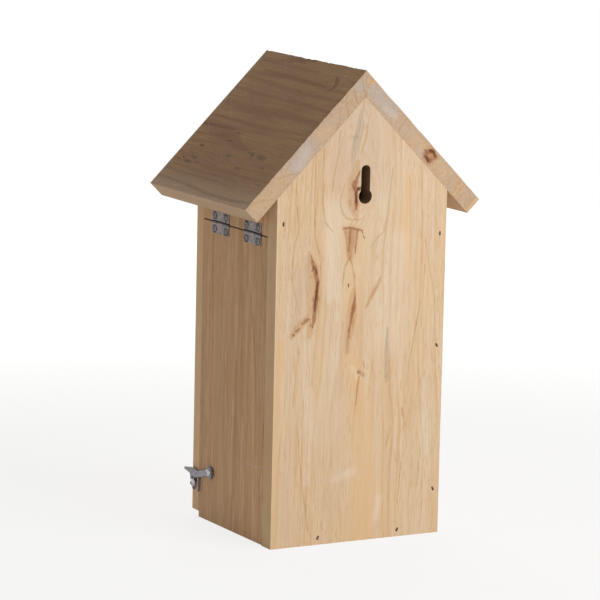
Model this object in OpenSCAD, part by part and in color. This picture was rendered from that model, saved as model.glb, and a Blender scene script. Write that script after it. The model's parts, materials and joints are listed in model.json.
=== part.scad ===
// Wooden nest box for small birds: six boards, a two-board roof and a side door that swings up.
// Right-handed frame in millimetres, +Z up. The origin is the middle of the underside.
// The entrance faces -Y, the keyhole for hanging is in the back at +Y, the door is on the +X side.

/* [Body] */
// Outside width, across the two sides
body_w = 122; // [100:1:180]
// Outside depth, from the front face to the back face
body_d = 108; // [100:1:180]
// Height of the sides at their outer faces, where the roof meets them
eave_h = 222; // [200:1:320]
// Thickness of the back panel
back_t = 12; // [9:0.5:18]
// Thickness of the front panel
front_t = 9; // [7:0.5:18]
// Thickness of the fixed side, the door and its header
side_t = 9; // [8.5:0.5:16]
// Thickness of the floor
floor_t = 9; // [8:0.5:16]
// How far the front panel stops above the underside
front_lift = 4; // [0:0.5:4.5]
// Room at each edge of the door
door_gap = 0.4; // [0.2:0.1:1]

/* [Roof] */
// Thickness of the roof boards
roof_t = 12; // [8:0.5:18]
// How far the roof reaches past the front panel
roof_overhang = 23; // [5:1:50]
// Eave overhang along the slope on the door side
door_eave = 20; // [8:0.5:40]
// Eave overhang along the slope on the fixed side
fixed_eave = 22; // [8:0.5:40]

/* [Openings] */
// Diameter of the entrance hole
entrance_d = 32; // [24:1:46]
// Distance from the eave down to the entrance hole's centre
entrance_drop = 56; // [45:1:90]
// Diameter of the keyhole's round entry
keyhole_d = 9.5; // [8:0.5:14]
// Width of the keyhole's slot
keyhole_slot = 6.4; // [4.5:0.1:7]
// Distance between the entry's centre and the top of the slot's centre line
keyhole_rise = 16.5; // [10:0.5:20]
// Distance from the gable's peak down to the keyhole's entry
keyhole_drop = 62.2; // [56:0.2:100]
// Sideways place of the keyhole
keyhole_x = -1.3; // [-3:0.1:3]
// Diameter of each drain hole in the floor
drain_d = 8; // [6:0.5:10]
// Distance from the drain holes' centres to the walls
drain_inset = 14; // [8:0.5:15]

/* [Saw cut and hinges] */
// Distance from the eave down to the hinge axis, in the middle of the saw cut
header_h = 25.5; // [18:0.5:40]
// Width of the saw cut between the header and the door
kerf = 0.8; // [0.6:0.1:1.6]
// Chamfer on the outer edges of the saw cut
kerf_chamfer = 0.2; // [0.2:0.1:0.6]
// Distance from the door's front edge to the middle of the front hinge
front_hinge_inset = 24.6; // [14:0.2:28]
// Distance from the door's rear edge to the middle of the rear hinge
rear_hinge_inset = 19.4; // [14:0.2:22]
// Length of each hinge
hinge_l = 22.6; // [20:0.2:26]
// Height of each leaf, from the axis to its free edge
leaf_h = 7; // [6.8:0.2:10]
// Thickness of the leaves
leaf_t = 0.6; // [0.5:0.05:0.8]
// Diameter of the hinge pins
pin_d = 1; // [0.9:0.1:1.2]
// Radial running room round the pins and in the hook's eye
pin_fit = 0.05; // [0.02:0.01:0.1]
// Room round the rolled knuckles
knuckle_gap = 0.25; // [0.2:0.05:0.4]
// Room between each knuckle and the other leaf
knuckle_play = 0.2; // [0.1:0.05:0.3]
// Distance between the two screws of a leaf
leaf_screw_pitch = 15.2; // [10:0.2:15.6]
// Distance from the hinge axis to the screws
leaf_screw_rise = 4.4; // [4.2:0.1:4.6]

/* [Latch] */
// Distance from the door's front edge to the hook's pivot
latch_inset = 17.4; // [14:0.2:24]
// Height of the hook's pivot
latch_z = 33; // [26:0.5:60]
// Distance from the pivot to the catch screw, straight down
catch_drop = 10.6; // [6:0.2:13]
// Distance from the door's front edge to the catch screw in the front panel
catch_inset = 3.3; // [2:0.1:5]
// Thickness of the hook's plate
hook_t = 1.2; // [0.8:0.1:1.6]
// Height of the pressed collar that stands the hook off the wood
hook_collar = 0.9; // [0.5:0.1:1.5]
// Outer diameter of the hook's eye
eye_d = 8; // [6.5:0.5:10]
// Width of the hook's arm
arm_w = 4; // [3:0.2:5]
// Downward slope of the arm, in degrees
arm_slope = 14; // [6:1:16]
// Width of the fork's inner finger
finger_w = 1.1; // [0.8:0.1:1.6]
// Width of the fork's outer finger
outer_finger_w = 2; // [1.4:0.1:2.6]
// How far the fingers' tips reach below the catch screw's axis
finger_l = 4.6; // [4:0.2:6]
// Length of the thumb tab past the fork
tab_l = 4.5; // [3.5:0.5:8]
// Outward bend of the thumb tab, in degrees
tab_bend = 14; // [2:1:25]
// Room round the catch screw in the fork
slot_gap = 0.3; // [0.2:0.05:0.4]
// Room between the hook's face and the catch screw's head
catch_gap = 0.4; // [0.2:0.1:0.8]

/* [Screws and brads] */
// Diameter of the round heads of the two latch screws
round_head_d = 5; // [4:0.2:6]
// Height of the round heads
round_head_h = 1.9; // [1.3:0.1:2.4]
// Shank diameter of the two latch screws
latch_screw_d = 2.6; // [2:0.1:3]
// Length of the latch screws in the wood
latch_screw_l = 7.5; // [5:0.5:8]
// Head diameter of the hinge screws
leaf_screw_head = 3.7; // [3.2:0.1:3.8]
// How far the countersinks in the leaves open past the heads
sink_rim = 0.3; // [0.1:0.05:0.4]
// Height of the hinge screws' raised heads
leaf_screw_crown = 0.35; // [0.2:0.05:0.6]
// Shank diameter of the hinge screws
leaf_screw_d = 2; // [1.6:0.1:2.4]
// Length of the hinge screws in the wood
leaf_screw_l = 7; // [5:0.5:8]
// Depth of the screws' crossed recesses
recess_depth = 0.7; // [0.4:0.1:1]
// Width of the brads, which are cut from square wire
brad_w = 1.3; // [1:0.1:1.6]
// Length of the brads' narrow heads
brad_head_l = 2.6; // [2:0.1:3]
// Thickness of the brads' heads
brad_head_t = 1; // [0.5:0.1:2]
// Length of the brads
brad_l = 28; // [24:1:32]
// How deep the brad heads are sunk
brad_sink = 0.3; // [0:0.1:1]
// Radial room round each fastener in its hole
hole_fit = 0.05; // [0.02:0.01:0.1]
// Height of the lowest brad in the fixed side
low_brad_z = 29; // [20:1:60]
// Height of the middle brad in the fixed side
mid_brad_z = 122.5; // [80:0.5:150]
// Distance from the eave down to the highest brad in the fixed side
high_brad_drop = 27.5; // [10:0.5:40]
// Height of the header's brads above the hinge axis
header_brad_rise = 9.5; // [8.5:0.5:12]
// Sideways place of the floor's brad on the fixed side
left_brad_x = -30.7; // [-31:0.1:-15]
// Sideways place of the floor's brad on the door side
right_brad_x = 27.2; // [15:0.1:30]
// Distance of the roof's upper brads from the ridge, measured level
upper_brad_x = 17.7; // [15:0.1:25]
// Distance of the roof's lower brads from the ridge, measured level
lower_brad_x = 43; // [36:0.1:44]

/* [Hidden] */

$fn = 64;
fine = 180;          // facets of the large circles
coarse = 32;         // facets of the circles under a hull
eps = 0.01;
past = 5;            // how far a cutting solid runs past the face it cuts

half = body_w / 2;
back_y = body_d / 2;
front_y = -body_d / 2;
inner_x = half - side_t;
inner_back_y = back_y - back_t;
inner_front_y = front_y + front_t;
inner_l = inner_back_y - inner_front_y;
mid_side_x = half - side_t / 2;

// Roof: its pitch is 45 degrees and the boards meet in a mitre at the ridge
pitch = 45;
apex_z = eave_h + half;
roof_front_y = front_y - roof_overhang;
roof_l = back_y - roof_front_y;

// Hinges: the leaves lie on the outer face and roll inwards, into the saw cut. The upper leaf ends a
// knuckle's radius above the axis, so the door can swing until the lower leaf is level.
hinge_z = eave_h - header_h;
front_hinge_y = inner_front_y + front_hinge_inset;
rear_hinge_y = inner_back_y - rear_hinge_inset;
bore_r = pin_d / 2 + pin_fit;
knuckle_r = bore_r + leaf_t;
leaf_x = knuckle_r - leaf_t;
axis_x = half - leaf_x;
gain_r = knuckle_r + knuckle_gap;
gain_top = gain_r + leaf_t;
knuckle_l = hinge_l / 3;

// Latch: the catch screw lies on an arc about the pivot, and so does the slot of the fork
latch_y = inner_front_y + latch_inset;
catch_y = inner_front_y - catch_inset;
catch_z = latch_z - catch_drop;
catch_r = norm([latch_y - catch_y, catch_drop]);
catch_angle = atan2(catch_drop, latch_y - catch_y);
slot_r = latch_screw_d / 2 + slot_gap;
fork_r = slot_r + outer_finger_w;
fork_sweep = 80;     // angle that the fork's ring spans before its tips are cut level
eye_bore_r = latch_screw_d / 2 + pin_fit;
collar_inset = 1;    // how far the collar lies inside the rim of the eye
hook_x = half + hook_collar;
pivot_gap = 0.15;    // room between the hook's face and the pivot screw's head
pivot_head_x = hook_x + hook_t + pivot_gap;
catch_head_x = hook_x + hook_t + catch_gap;
arm_end = (catch_r - slot_r) * [-cos(arm_slope), -sin(arm_slope)];
cheek_d = 1.2 * arm_w;
cheek_shift = 0.3;   // how far the cheek's centre lies inside the catch screw's arc
cheek_rise = 2;      // how far it lies above the arm's end
cheek = [cheek_shift - catch_r, arm_end[1] + cheek_rise];
tab_drop = 2.7;      // how far the tab's tip lies below the pivot
tab_tip = [-(catch_r + fork_r + tab_l), -tab_drop];
tab_tip_r = 0.9;
tip_z = -(catch_drop + finger_l);
inner_tip = [-sqrt(pow(catch_r - slot_r, 2) - tip_z * tip_z), tip_z];
inner_lean = 0.6;    // how far the inner finger's root lies outside its tip
mouth_z = -0.7 * catch_drop;
shoulder_w = 1.4;    // how far the fork's shoulder reaches past the slot
shoulder_r = slot_r + shoulder_w;
bend_inset = 0.4;    // how far the bend lies inside the outer edge of the fork
bend_y = -(catch_r + fork_r - bend_inset);

// Colours
pale_wood = "#dcbf98";
side_wood = "#b9946a";
roof_wood = "#a88662";
zinc = "#9c9ea4";
steel = "#b4b6ba";

// Places of the brads in X and Z and the lean of their heads, the same on the back and front panels
lean = 26;           // angle of the brads' heads, in degrees
panel_brads = [
    [left_brad_x, floor_t / 2, -lean], [right_brad_x, floor_t / 2, -lean],
    [-mid_side_x, low_brad_z, lean], [-mid_side_x, mid_brad_z, lean], [-mid_side_x, eave_h - high_brad_drop, 0],
    [mid_side_x, hinge_z + header_brad_rise, 0]
];

// Extrudes a profile drawn in X and Z along +Y, from y0 over the length l
module along_y(y0, l) {
    translate([0, y0 + l, 0]) rotate([90, 0, 0]) linear_extrude(l) children();
}

// The house-shaped outline of the front and back panels
module gable(bottom) {
    polygon([[-half, bottom], [half, bottom], [half, eave_h], [0, apex_z], [-half, eave_h]]);
}

// A brad along -Z with its head at the origin, or, with a fit, the hole that it is sunk in
module brad(fit) {
    open = fit > 0 ? brad_sink + eps : 0;
    w = brad_w + 2 * fit;
    l = brad_head_l + 2 * fit;
    translate([-w / 2, -w / 2, -brad_l - fit]) cube([w, w, brad_l + fit]);
    translate([-w / 2, -l / 2, -brad_head_t - fit]) cube([w, l, brad_head_t + fit + open]);
}

module back_brads(fit = 0) {
    for (p = panel_brads) translate([p[0], back_y - brad_sink, p[1]]) rotate([-90, 0, 0]) rotate(p[2]) brad(fit);
}

// The floor's brads lie a little higher here, because the front panel stops above the underside
module front_brads(fit = 0) {
    lowest = front_lift + brad_head_l;
    for (p = panel_brads)
        translate([p[0], front_y + brad_sink, max(p[1], lowest)]) rotate([90, 0, 0]) rotate(p[2]) brad(fit);
}

// Brads through both roof boards, square to the slope, into the two gables
module gable_brads(fit = 0) {
    for (side = [-1, 1], y = [front_y + front_t / 2, back_y - back_t / 2], x = [upper_brad_x, lower_brad_x])
        translate([side * x, y, apex_z - x]) rotate([0, side * pitch, 0])
            translate([0, 0, roof_t - brad_sink]) brad(fit);
}

module keyhole() {
    z = apex_z - keyhole_drop;
    along_y(inner_back_y - past, back_t + 2 * past) {
        translate([keyhole_x, z]) circle(d = keyhole_d);
        translate([keyhole_x, z + keyhole_rise]) circle(d = keyhole_slot);
        translate([keyhole_x - keyhole_slot / 2, z]) square([keyhole_slot, keyhole_rise]);
    }
}

module back_panel() {
    color(pale_wood) difference() {
        along_y(inner_back_y, back_t) gable(0);
        keyhole();
        back_brads(hole_fit);
        gable_brads(hole_fit);
    }
}

module front_panel() {
    color(pale_wood) difference() {
        along_y(front_y, front_t) gable(front_lift);
        translate([0, front_y - past, eave_h - entrance_drop]) rotate([-90, 0, 0])
            cylinder(h = front_t + 2 * past, d = entrance_d, $fn = fine);
        front_brads(hole_fit);
        gable_brads(hole_fit);
        latch_screw(catch_y, catch_z, catch_head_x, hole_fit);
    }
}

// Profile of a +X side board in X and Z from the height z0 up, its top cut to the slope of the roof
module side_profile(z0) {
    polygon([[inner_x, z0], [half, z0], [half, eave_h], [inner_x, eave_h + side_t]]);
}

module fixed_side_panel() {
    color(side_wood) difference() {
        mirror([1, 0, 0]) along_y(inner_front_y, inner_l) side_profile(0);
        back_brads(hole_fit);
        front_brads(hole_fit);
    }
}

// The two gains in the saw cut that take the rolled knuckles and the upper leaf's straps
module knuckle_gains() {
    for (y = [front_hinge_y, rear_hinge_y])
        translate([axis_x - gain_r, y - hinge_l / 2 - knuckle_gap, hinge_z - gain_r])
            cube([gain_r + past, hinge_l + 2 * knuckle_gap, gain_r + gain_top]);
}

// A wedge that eases an outer edge of the saw cut at the height z, towards +Z or, for side -1, -Z
module edge_chamfer(z, side) {
    along_y(inner_front_y - past, inner_l + 2 * past) polygon([
        [half - kerf_chamfer, z], [half + eps, z + side * (kerf_chamfer + eps)],
        [half + past, z], [half, z - side * eps]
    ]);
}

module door_header() {
    z0 = hinge_z + kerf / 2;
    color(side_wood) difference() {
        along_y(inner_front_y, inner_l) side_profile(z0);
        knuckle_gains();
        edge_chamfer(z0, 1);
        hinge_screws(1, hole_fit);
        back_brads(hole_fit);
        front_brads(hole_fit);
    }
}

module door_panel() {
    z1 = hinge_z - kerf / 2;
    color(side_wood) difference() {
        translate([inner_x, inner_front_y + door_gap, door_gap])
            cube([side_t, inner_l - 2 * door_gap, z1 - door_gap]);
        knuckle_gains();
        edge_chamfer(z1, -1);
        hinge_screws(-1, hole_fit);
        latch_screw(latch_y, latch_z, pivot_head_x, hole_fit);
    }
}

module floor_panel() {
    color(pale_wood) difference() {
        translate([-inner_x, inner_front_y, 0]) cube([2 * inner_x - door_gap, inner_l, floor_t]);
        for (x = [drain_inset - inner_x, inner_x - drain_inset],
             y = [inner_front_y + drain_inset, inner_back_y - drain_inset])
            translate([x, y, -past]) cylinder(h = floor_t + 2 * past, d = drain_d);
        back_brads(hole_fit);
        front_brads(hole_fit);
    }
}

// Profile of the +X roof board in X and Z, with its mitre on the line x = 0 and its eave end square
module roof_profile(eave) {
    reach = half + eave * cos(pitch);
    rise = roof_t * cos(pitch);
    polygon([[0, apex_z], [reach, apex_z - reach], [reach + rise, apex_z - reach + rise], [0, apex_z + 2 * rise]]);
}

module roof_board_door_side() {
    color(roof_wood) difference() {
        along_y(roof_front_y, roof_l) roof_profile(door_eave);
        gable_brads(hole_fit);
    }
}

module roof_board_fixed_side() {
    color(roof_wood) difference() {
        mirror([1, 0, 0]) along_y(roof_front_y, roof_l) roof_profile(fixed_eave);
        gable_brads(hole_fit);
    }
}

// Knuckle k of three along the hinge axis, longer at both ends by the room, with the given section
module knuckle(k, room) {
    l = knuckle_l + 2 * room;
    along_y((k - 1.5) * knuckle_l - room, l) children();
}

// Section of the strap that folds in from the upper leaf's lower edge and down to a knuckle
module strap() {
    translate([-leaf_t / 2, knuckle_r]) square([knuckle_r + leaf_t / 2, leaf_t]);
    translate([-leaf_t / 2, bore_r]) square([leaf_t, knuckle_r]);
}

// One leaf in the frame of its hinge axis: side 1 is the upper leaf, with the two outer knuckles,
// and side -1 the lower leaf, with the middle one
module leaf(side) {
    own = side > 0 ? [0, 2] : [1];
    others = side > 0 ? [1] : [0, 2];
    z0 = side > 0 ? knuckle_r : -leaf_h;
    z1 = side > 0 ? leaf_h : 0;
    difference() {
        union() {
            translate([leaf_x, -hinge_l / 2, z0]) cube([leaf_t, hinge_l, z1 - z0]);
            for (k = own) knuckle(k, -knuckle_play / 2) {
                circle(r = knuckle_r);
                if (side > 0) strap();
            }
        }
        for (k = others) knuckle(k, knuckle_play / 2) circle(r = knuckle_r + knuckle_play);
        for (k = own) knuckle(k, past) circle(r = bore_r);
        for (y = [-1, 1] * leaf_screw_pitch / 2) translate([knuckle_r, y, side * leaf_screw_rise]) {
            leaf_screw(hole_fit);
            rotate([0, -90, 0])
                cylinder(h = leaf_t, r1 = leaf_screw_head / 2 + sink_rim, r2 = leaf_screw_d / 2 + hole_fit);
        }
    }
}

// A crossed recess of the given width, from the plane z = 0 down to the recess's depth in +Z
module cross_recess(w) {
    arm = w / 4;
    for (a = [0, 90]) rotate(a) translate([-w / 2, -arm / 2, -eps]) cube([w, arm, recess_depth + eps]);
}

// A countersunk screw along -X with its raised, crossed head on a leaf's outer face,
// or, with a fit, the hole that it goes through
module leaf_screw(fit = 0) {
    crown_d = 0.7 * leaf_screw_head;
    rotate([0, -90, 0]) {
        cylinder(h = leaf_t, r1 = leaf_screw_head / 2 + fit, r2 = leaf_screw_d / 2 + fit);
        translate([0, 0, leaf_t - eps]) cylinder(h = leaf_screw_l + eps + fit, r = leaf_screw_d / 2 + fit);
        translate([0, 0, -leaf_screw_crown]) difference() {
            cylinder(h = leaf_screw_crown + eps, d1 = crown_d, d2 = leaf_screw_head);
            if (fit == 0) cross_recess(leaf_screw_head / 2);
        }
    }
}

module hinge_screws(side, fit = 0) {
    for (hinge_y = [front_hinge_y, rear_hinge_y], y = [-1, 1] * leaf_screw_pitch / 2)
        translate([half + leaf_t, hinge_y + y, hinge_z + side * leaf_screw_rise]) leaf_screw(fit);
}

module hinge_pin() {
    rotate([90, 0, 0]) cylinder(h = hinge_l, d = pin_d, center = true);
}

module at_hinge(y) {
    translate([axis_x, y, hinge_z]) children();
}

module front_hinge_upper_leaf() { color(zinc) at_hinge(front_hinge_y) leaf(1); }
module front_hinge_lower_leaf() { color(zinc) at_hinge(front_hinge_y) leaf(-1); }
module front_hinge_pin() { color(steel) at_hinge(front_hinge_y) hinge_pin(); }
module rear_hinge_upper_leaf() { color(zinc) at_hinge(rear_hinge_y) leaf(1); }
module rear_hinge_lower_leaf() { color(zinc) at_hinge(rear_hinge_y) leaf(-1); }
module rear_hinge_pin() { color(steel) at_hinge(rear_hinge_y) hinge_pin(); }

// A domed head on the plane z = 0, rising towards -Z, with a crossed recess in its crown
module round_head() {
    r = round_head_d / 2;
    ball = (r * r + round_head_h * round_head_h) / (2 * round_head_h);
    difference() {
        rotate_extrude() intersection() {
            translate([0, ball - round_head_h]) circle(r = ball);
            translate([0, -round_head_h]) square([r, round_head_h]);
        }
        translate([0, 0, -round_head_h]) cross_recess(round_head_d / 2);
    }
}

// A round-head screw along -X at the given place, with its head's underside at head_x,
// or, with a fit, the hole that its shank needs
module latch_screw(y, z, head_x, fit = 0) {
    translate([head_x, y, z]) rotate([0, -90, 0]) {
        cylinder(h = head_x - half + latch_screw_l + fit, r = latch_screw_d / 2 + fit);
        if (fit == 0) round_head();
    }
}

// A ring about the pivot, between two radii and between two angles below the horizontal
module arc_band(r0, r1, from, to) {
    reach = 3 * catch_r;
    mid = (from + to) / 2;
    intersection() {
        difference() {
            circle(r = r1, $fn = fine);
            circle(r = r0, $fn = fine);
        }
        polygon(concat([[0, 0]], [for (a = [from, mid, to]) reach * [-cos(a), -sin(a)]]));
    }
}

// The fork's inner finger, which hangs straight down from the arm and leaves the catch screw's arc clear
module inner_finger() {
    root = [-inner_lean, -catch_drop / 3 - tip_z];
    polygon([for (p = [[0, 0], [finger_w, 0], root + [finger_w + inner_lean / 2, 0], root]) inner_tip + p]);
}

// Outline of the hook as seen from +X, with the pivot at the origin and the box's front to the left.
// The outer finger lies on an arc about the pivot, so that the hook lifts clear of the catch screw.
module hook_outline() {
    catch = catch_r * [-cos(catch_angle), -sin(catch_angle)];
    difference() {
        union() {
            circle(d = eye_d);
            hull() {
                circle(d = arm_w, $fn = coarse);
                translate(arm_end) circle(d = arm_w, $fn = coarse);
            }
            hull() {
                translate(0.8 * arm_end) circle(d = arm_w, $fn = coarse);
                translate(arm_end) circle(d = arm_w, $fn = coarse);
                translate(cheek) circle(d = cheek_d, $fn = coarse);
                translate(tab_tip) circle(r = tab_tip_r, $fn = coarse);
            }
            arc_band(catch_r + slot_r, catch_r + fork_r, arm_slope / 2, fork_sweep);
            translate(catch) circle(r = shoulder_r);
        }
        translate([-2 * catch_r, 2 * tip_z]) square([2 * catch_r, -tip_z]);
        hull() {
            translate(catch) circle(r = slot_r);
            translate([inner_tip[0] - inner_lean, mouth_z]) square(eps);
            translate([inner_tip[0], 2 * tip_z]) square(eps);
        }
        arc_band(catch_r - slot_r, catch_r + slot_r, catch_angle, fork_sweep + 5);
        circle(r = eye_bore_r);
    }
    inner_finger();
}

// The hook's plate, kept on one side of the bend: side 1 towards the pivot, -1 the thumb tab
module plate(side) {
    reach = 2 * (catch_r + tab_l);
    intersection() {
        rotate([90, 0, 90]) linear_extrude(hook_t) hook_outline();
        translate([-past, side > 0 ? bend_y : bend_y - reach, -reach]) cube([3 * past, reach, 2 * reach]);
    }
}

module latch_hook() {
    collar_r = eye_d / 2 - collar_inset;
    color(zinc) translate([hook_x, latch_y, latch_z]) {
        plate(1);
        translate([0, bend_y, 0]) rotate(tab_bend) translate([0, -bend_y, 0]) plate(-1);
        translate([-hook_collar, 0, 0]) rotate([0, 90, 0]) difference() {
            cylinder(h = hook_collar + eps, r = collar_r);
            translate([0, 0, -past]) cylinder(h = 2 * past, r = eye_bore_r);
        }
    }
}

module latch_pivot_screw() { color(steel) latch_screw(latch_y, latch_z, pivot_head_x); }
module latch_catch_screw() { color(steel) latch_screw(catch_y, catch_z, catch_head_x); }
module hinge_header_screws() { color(steel) hinge_screws(1); }
module hinge_door_screws() { color(steel) hinge_screws(-1); }
module back_panel_brads() { color(steel) back_brads(); }
module front_panel_brads() { color(steel) front_brads(); }
module roof_brads() { color(steel) gable_brads(); }

back_panel();
front_panel();
fixed_side_panel();
door_header();
door_panel();
floor_panel();
roof_board_door_side();
roof_board_fixed_side();
front_hinge_upper_leaf();
front_hinge_lower_leaf();
front_hinge_pin();
rear_hinge_upper_leaf();
rear_hinge_lower_leaf();
rear_hinge_pin();
hinge_header_screws();
hinge_door_screws();
latch_hook();
latch_pivot_screw();
latch_catch_screw();
back_panel_brads();
front_panel_brads();
roof_brads();
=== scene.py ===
"""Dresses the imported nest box: its boards, hinges, latch and nails, and the stage round it.

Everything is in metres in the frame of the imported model. The entrance faces -Y, the keyhole is in
the back at +Y, and the door is on the +X side.
"""

import json
import math
import random

import bmesh
import bpy
from bpy.props import FloatProperty, FloatVectorProperty, PointerProperty
from mathutils import Matrix, Vector


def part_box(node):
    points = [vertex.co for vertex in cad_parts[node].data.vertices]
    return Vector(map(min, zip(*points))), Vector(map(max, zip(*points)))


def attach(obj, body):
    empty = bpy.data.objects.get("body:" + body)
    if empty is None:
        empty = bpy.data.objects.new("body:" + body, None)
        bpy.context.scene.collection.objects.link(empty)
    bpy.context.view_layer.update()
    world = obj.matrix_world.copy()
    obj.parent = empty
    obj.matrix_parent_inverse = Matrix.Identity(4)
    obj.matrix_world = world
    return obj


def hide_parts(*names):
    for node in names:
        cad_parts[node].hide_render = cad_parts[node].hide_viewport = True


bl_info = {
    "name": "Nest Box",
    "version": (1, 0, 0),
    "blender": (4, 5, 0),
    "location": "3D View > Sidebar > Nest Box",
    "description": "Boards, hinges, latch and nails of a wooden nest box",
    "category": "Object",
}

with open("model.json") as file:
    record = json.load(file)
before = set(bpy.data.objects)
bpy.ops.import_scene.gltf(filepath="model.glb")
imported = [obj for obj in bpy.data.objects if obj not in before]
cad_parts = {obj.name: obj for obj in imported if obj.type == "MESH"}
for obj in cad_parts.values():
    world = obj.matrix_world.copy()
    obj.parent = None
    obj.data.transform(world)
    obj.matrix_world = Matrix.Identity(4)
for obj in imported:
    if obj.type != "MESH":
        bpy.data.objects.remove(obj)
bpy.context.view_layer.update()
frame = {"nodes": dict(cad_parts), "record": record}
BODY_OF = {node: body for body, nodes in frame["record"]["behaviour"]["bodies"].items() for node in nodes}
MM = 0.001
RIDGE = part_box("roof_board_door_side")[1].z
SLOPE = math.sqrt(0.5)

FLOAT, VECTOR = "NodeSocketFloat", "NodeSocketVector"


# Settings

class BoardSettings(bpy.types.PropertyGroup):
    """Sizes of the boards' edges and of the figure in the wood."""

    arris: FloatProperty(name="Arris", description="Width of the eased edges of the boards",
                         default=0.45 * MM, min=0.1 * MM, max=1.5 * MM, unit="LENGTH")
    hole_edge: FloatProperty(name="Hole Edge", description="Rounding of the keyhole and the entrance",
                             default=0.25 * MM, min=0.1 * MM, max=1.5 * MM, unit="LENGTH")
    ragged: FloatProperty(name="Ragged Edges", description="How far the saw tore the roof's upper edges",
                          default=0.55 * MM, min=0, max=2 * MM, unit="LENGTH")
    ring_width: FloatProperty(name="Ring Width", description="Mean width of the growth rings",
                              default=3.3 * MM, min=1 * MM, max=10 * MM, unit="LENGTH")
    waviness: FloatProperty(name="Waviness", description="How far the growth rings wander",
                            default=14 * MM, min=0, max=40 * MM, unit="LENGTH")
    late_wood: FloatProperty(name="Late Wood", description="How strongly the dark part of each ring shows",
                             default=0.6, min=0, max=1, subtype="FACTOR")
    fibre: FloatProperty(name="Fibre", description="How strongly the fibres show",
                         default=0.33, min=0, max=1, subtype="FACTOR")
    flecks: FloatProperty(name="Flecks", description="How strongly the short resin flecks show",
                          default=0.4, min=0, max=1, subtype="FACTOR")
    relief: FloatProperty(name="Relief", description="Depth of the fibres in the surface",
                          default=0.12 * MM, min=0, max=1 * MM, unit="LENGTH")


def colour_property(name, description, default):
    """A colour that a user can change."""
    return FloatVectorProperty(name=name, description=description, default=default,
                               size=3, min=0, max=1, subtype="COLOR")


class WoodColours(bpy.types.PropertyGroup):
    """Colours of the pine and of the marks in it."""

    early: colour_property("Early Wood", "Pale wood between the ring lines", (0.70, 0.592, 0.437))
    late: colour_property("Late Wood", "Dark part of each growth ring", (0.57, 0.345, 0.15))
    warm: colour_property("Warm", "Broad orange zones", (0.69, 0.46, 0.245))
    roof: colour_property("Roof", "Darker outer faces of the roof", (0.50, 0.322, 0.158))
    roof_late: colour_property("Roof Rings", "Growth rings in the roof's outer faces", (0.24, 0.118, 0.062))
    end_grain: colour_property("End Grain", "Cross-cut ends", (0.442, 0.350, 0.258))
    rust: colour_property("Rust", "Flecks of resin and the rim of the dark marks", (0.50, 0.26, 0.10))
    brown: colour_property("Brown", "Knot wood and brown streaks", (0.265, 0.102, 0.04))
    red: colour_property("Red", "Red-brown streaks", (0.42, 0.20, 0.105))
    rosy: colour_property("Rosy", "Pinkish wood in and beside the knots", (0.54, 0.395, 0.285))
    pitch: colour_property("Pitch", "Resin pockets and bark", (0.125, 0.036, 0.012))
    spot: colour_property("Spot", "Dark dots in the roof", (0.125, 0.082, 0.05))
    amber: colour_property("Amber", "Thin lines round the knots", (0.40, 0.205, 0.055))
    # Painted shade: the walls of the keyhole and the entrance are coloured dark, in place of the shade inside them
    bored: colour_property("Bored", "Walls of the holes", (0.17, 0.095, 0.045))
    stain: colour_property("Stain", "Blue-grey sap stain", (0.29, 0.25, 0.19))
    # The scuff colour also lightens the arrises, partly as wear and partly as a painted highlight
    scuff: colour_property("Scuff", "Scuffed and dusty places", (0.78, 0.70, 0.58))
    # Painted light: the bright warm strips on the side edges of the back and the front that face the door side
    honey: colour_property("Honey", "Bright orange strips at an edge", (0.97, 0.70, 0.42))
    ash: colour_property("Ash", "Grey and torn end grain", (0.44, 0.43, 0.44))


class MetalColours(bpy.types.PropertyGroup):
    """Colours of the metal parts."""

    zinc: colour_property("Zinc", "Dull zinc plate of the hinges", (0.268, 0.23, 0.218))
    zinc_dark: colour_property("Dark Zinc", "Tarnished places of the zinc plate", (0.12, 0.105, 0.105))
    hook: colour_property("Hook", "Plate of the hook", (0.30, 0.295, 0.32))
    screw: colour_property("Round-Head Screw", "Screws of the latch", (0.46, 0.46, 0.47))
    leaf_screw: colour_property("Hinge Screw", "Screws and pins of the hinges", (0.23, 0.205, 0.20))
    nail: colour_property("Nail", "Heads of the nails", (0.13, 0.08, 0.05))
    nail_dark: colour_property("Dark Nail", "Rusted places of the nails", (0.02, 0.014, 0.01))


class StageSettings(bpy.types.PropertyGroup):
    """Floor, lamps and surroundings."""

    floor: FloatProperty(name="Floor", description="Length of the floor's sides",
                         default=14, min=1, max=50, unit="LENGTH")
    key: FloatProperty(name="Key", description="Power of the large lamp on the back", default=13, min=0, max=200)
    fill: FloatProperty(name="Fill", description="Power of the lamp on the front", default=9, min=0, max=200)
    sky: FloatProperty(name="Sky", description="Strength of the light from all round", default=0.42, min=0, max=2)


class NestBoxSettings(bpy.types.PropertyGroup):
    """All settings of the nest box."""

    boards: PointerProperty(type=BoardSettings)
    wood: PointerProperty(type=WoodColours)
    metal: PointerProperty(type=MetalColours)
    stage: PointerProperty(type=StageSettings)


def settings():
    """The settings of the open scene."""
    return bpy.context.scene.nest_box


# Node trees

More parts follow.
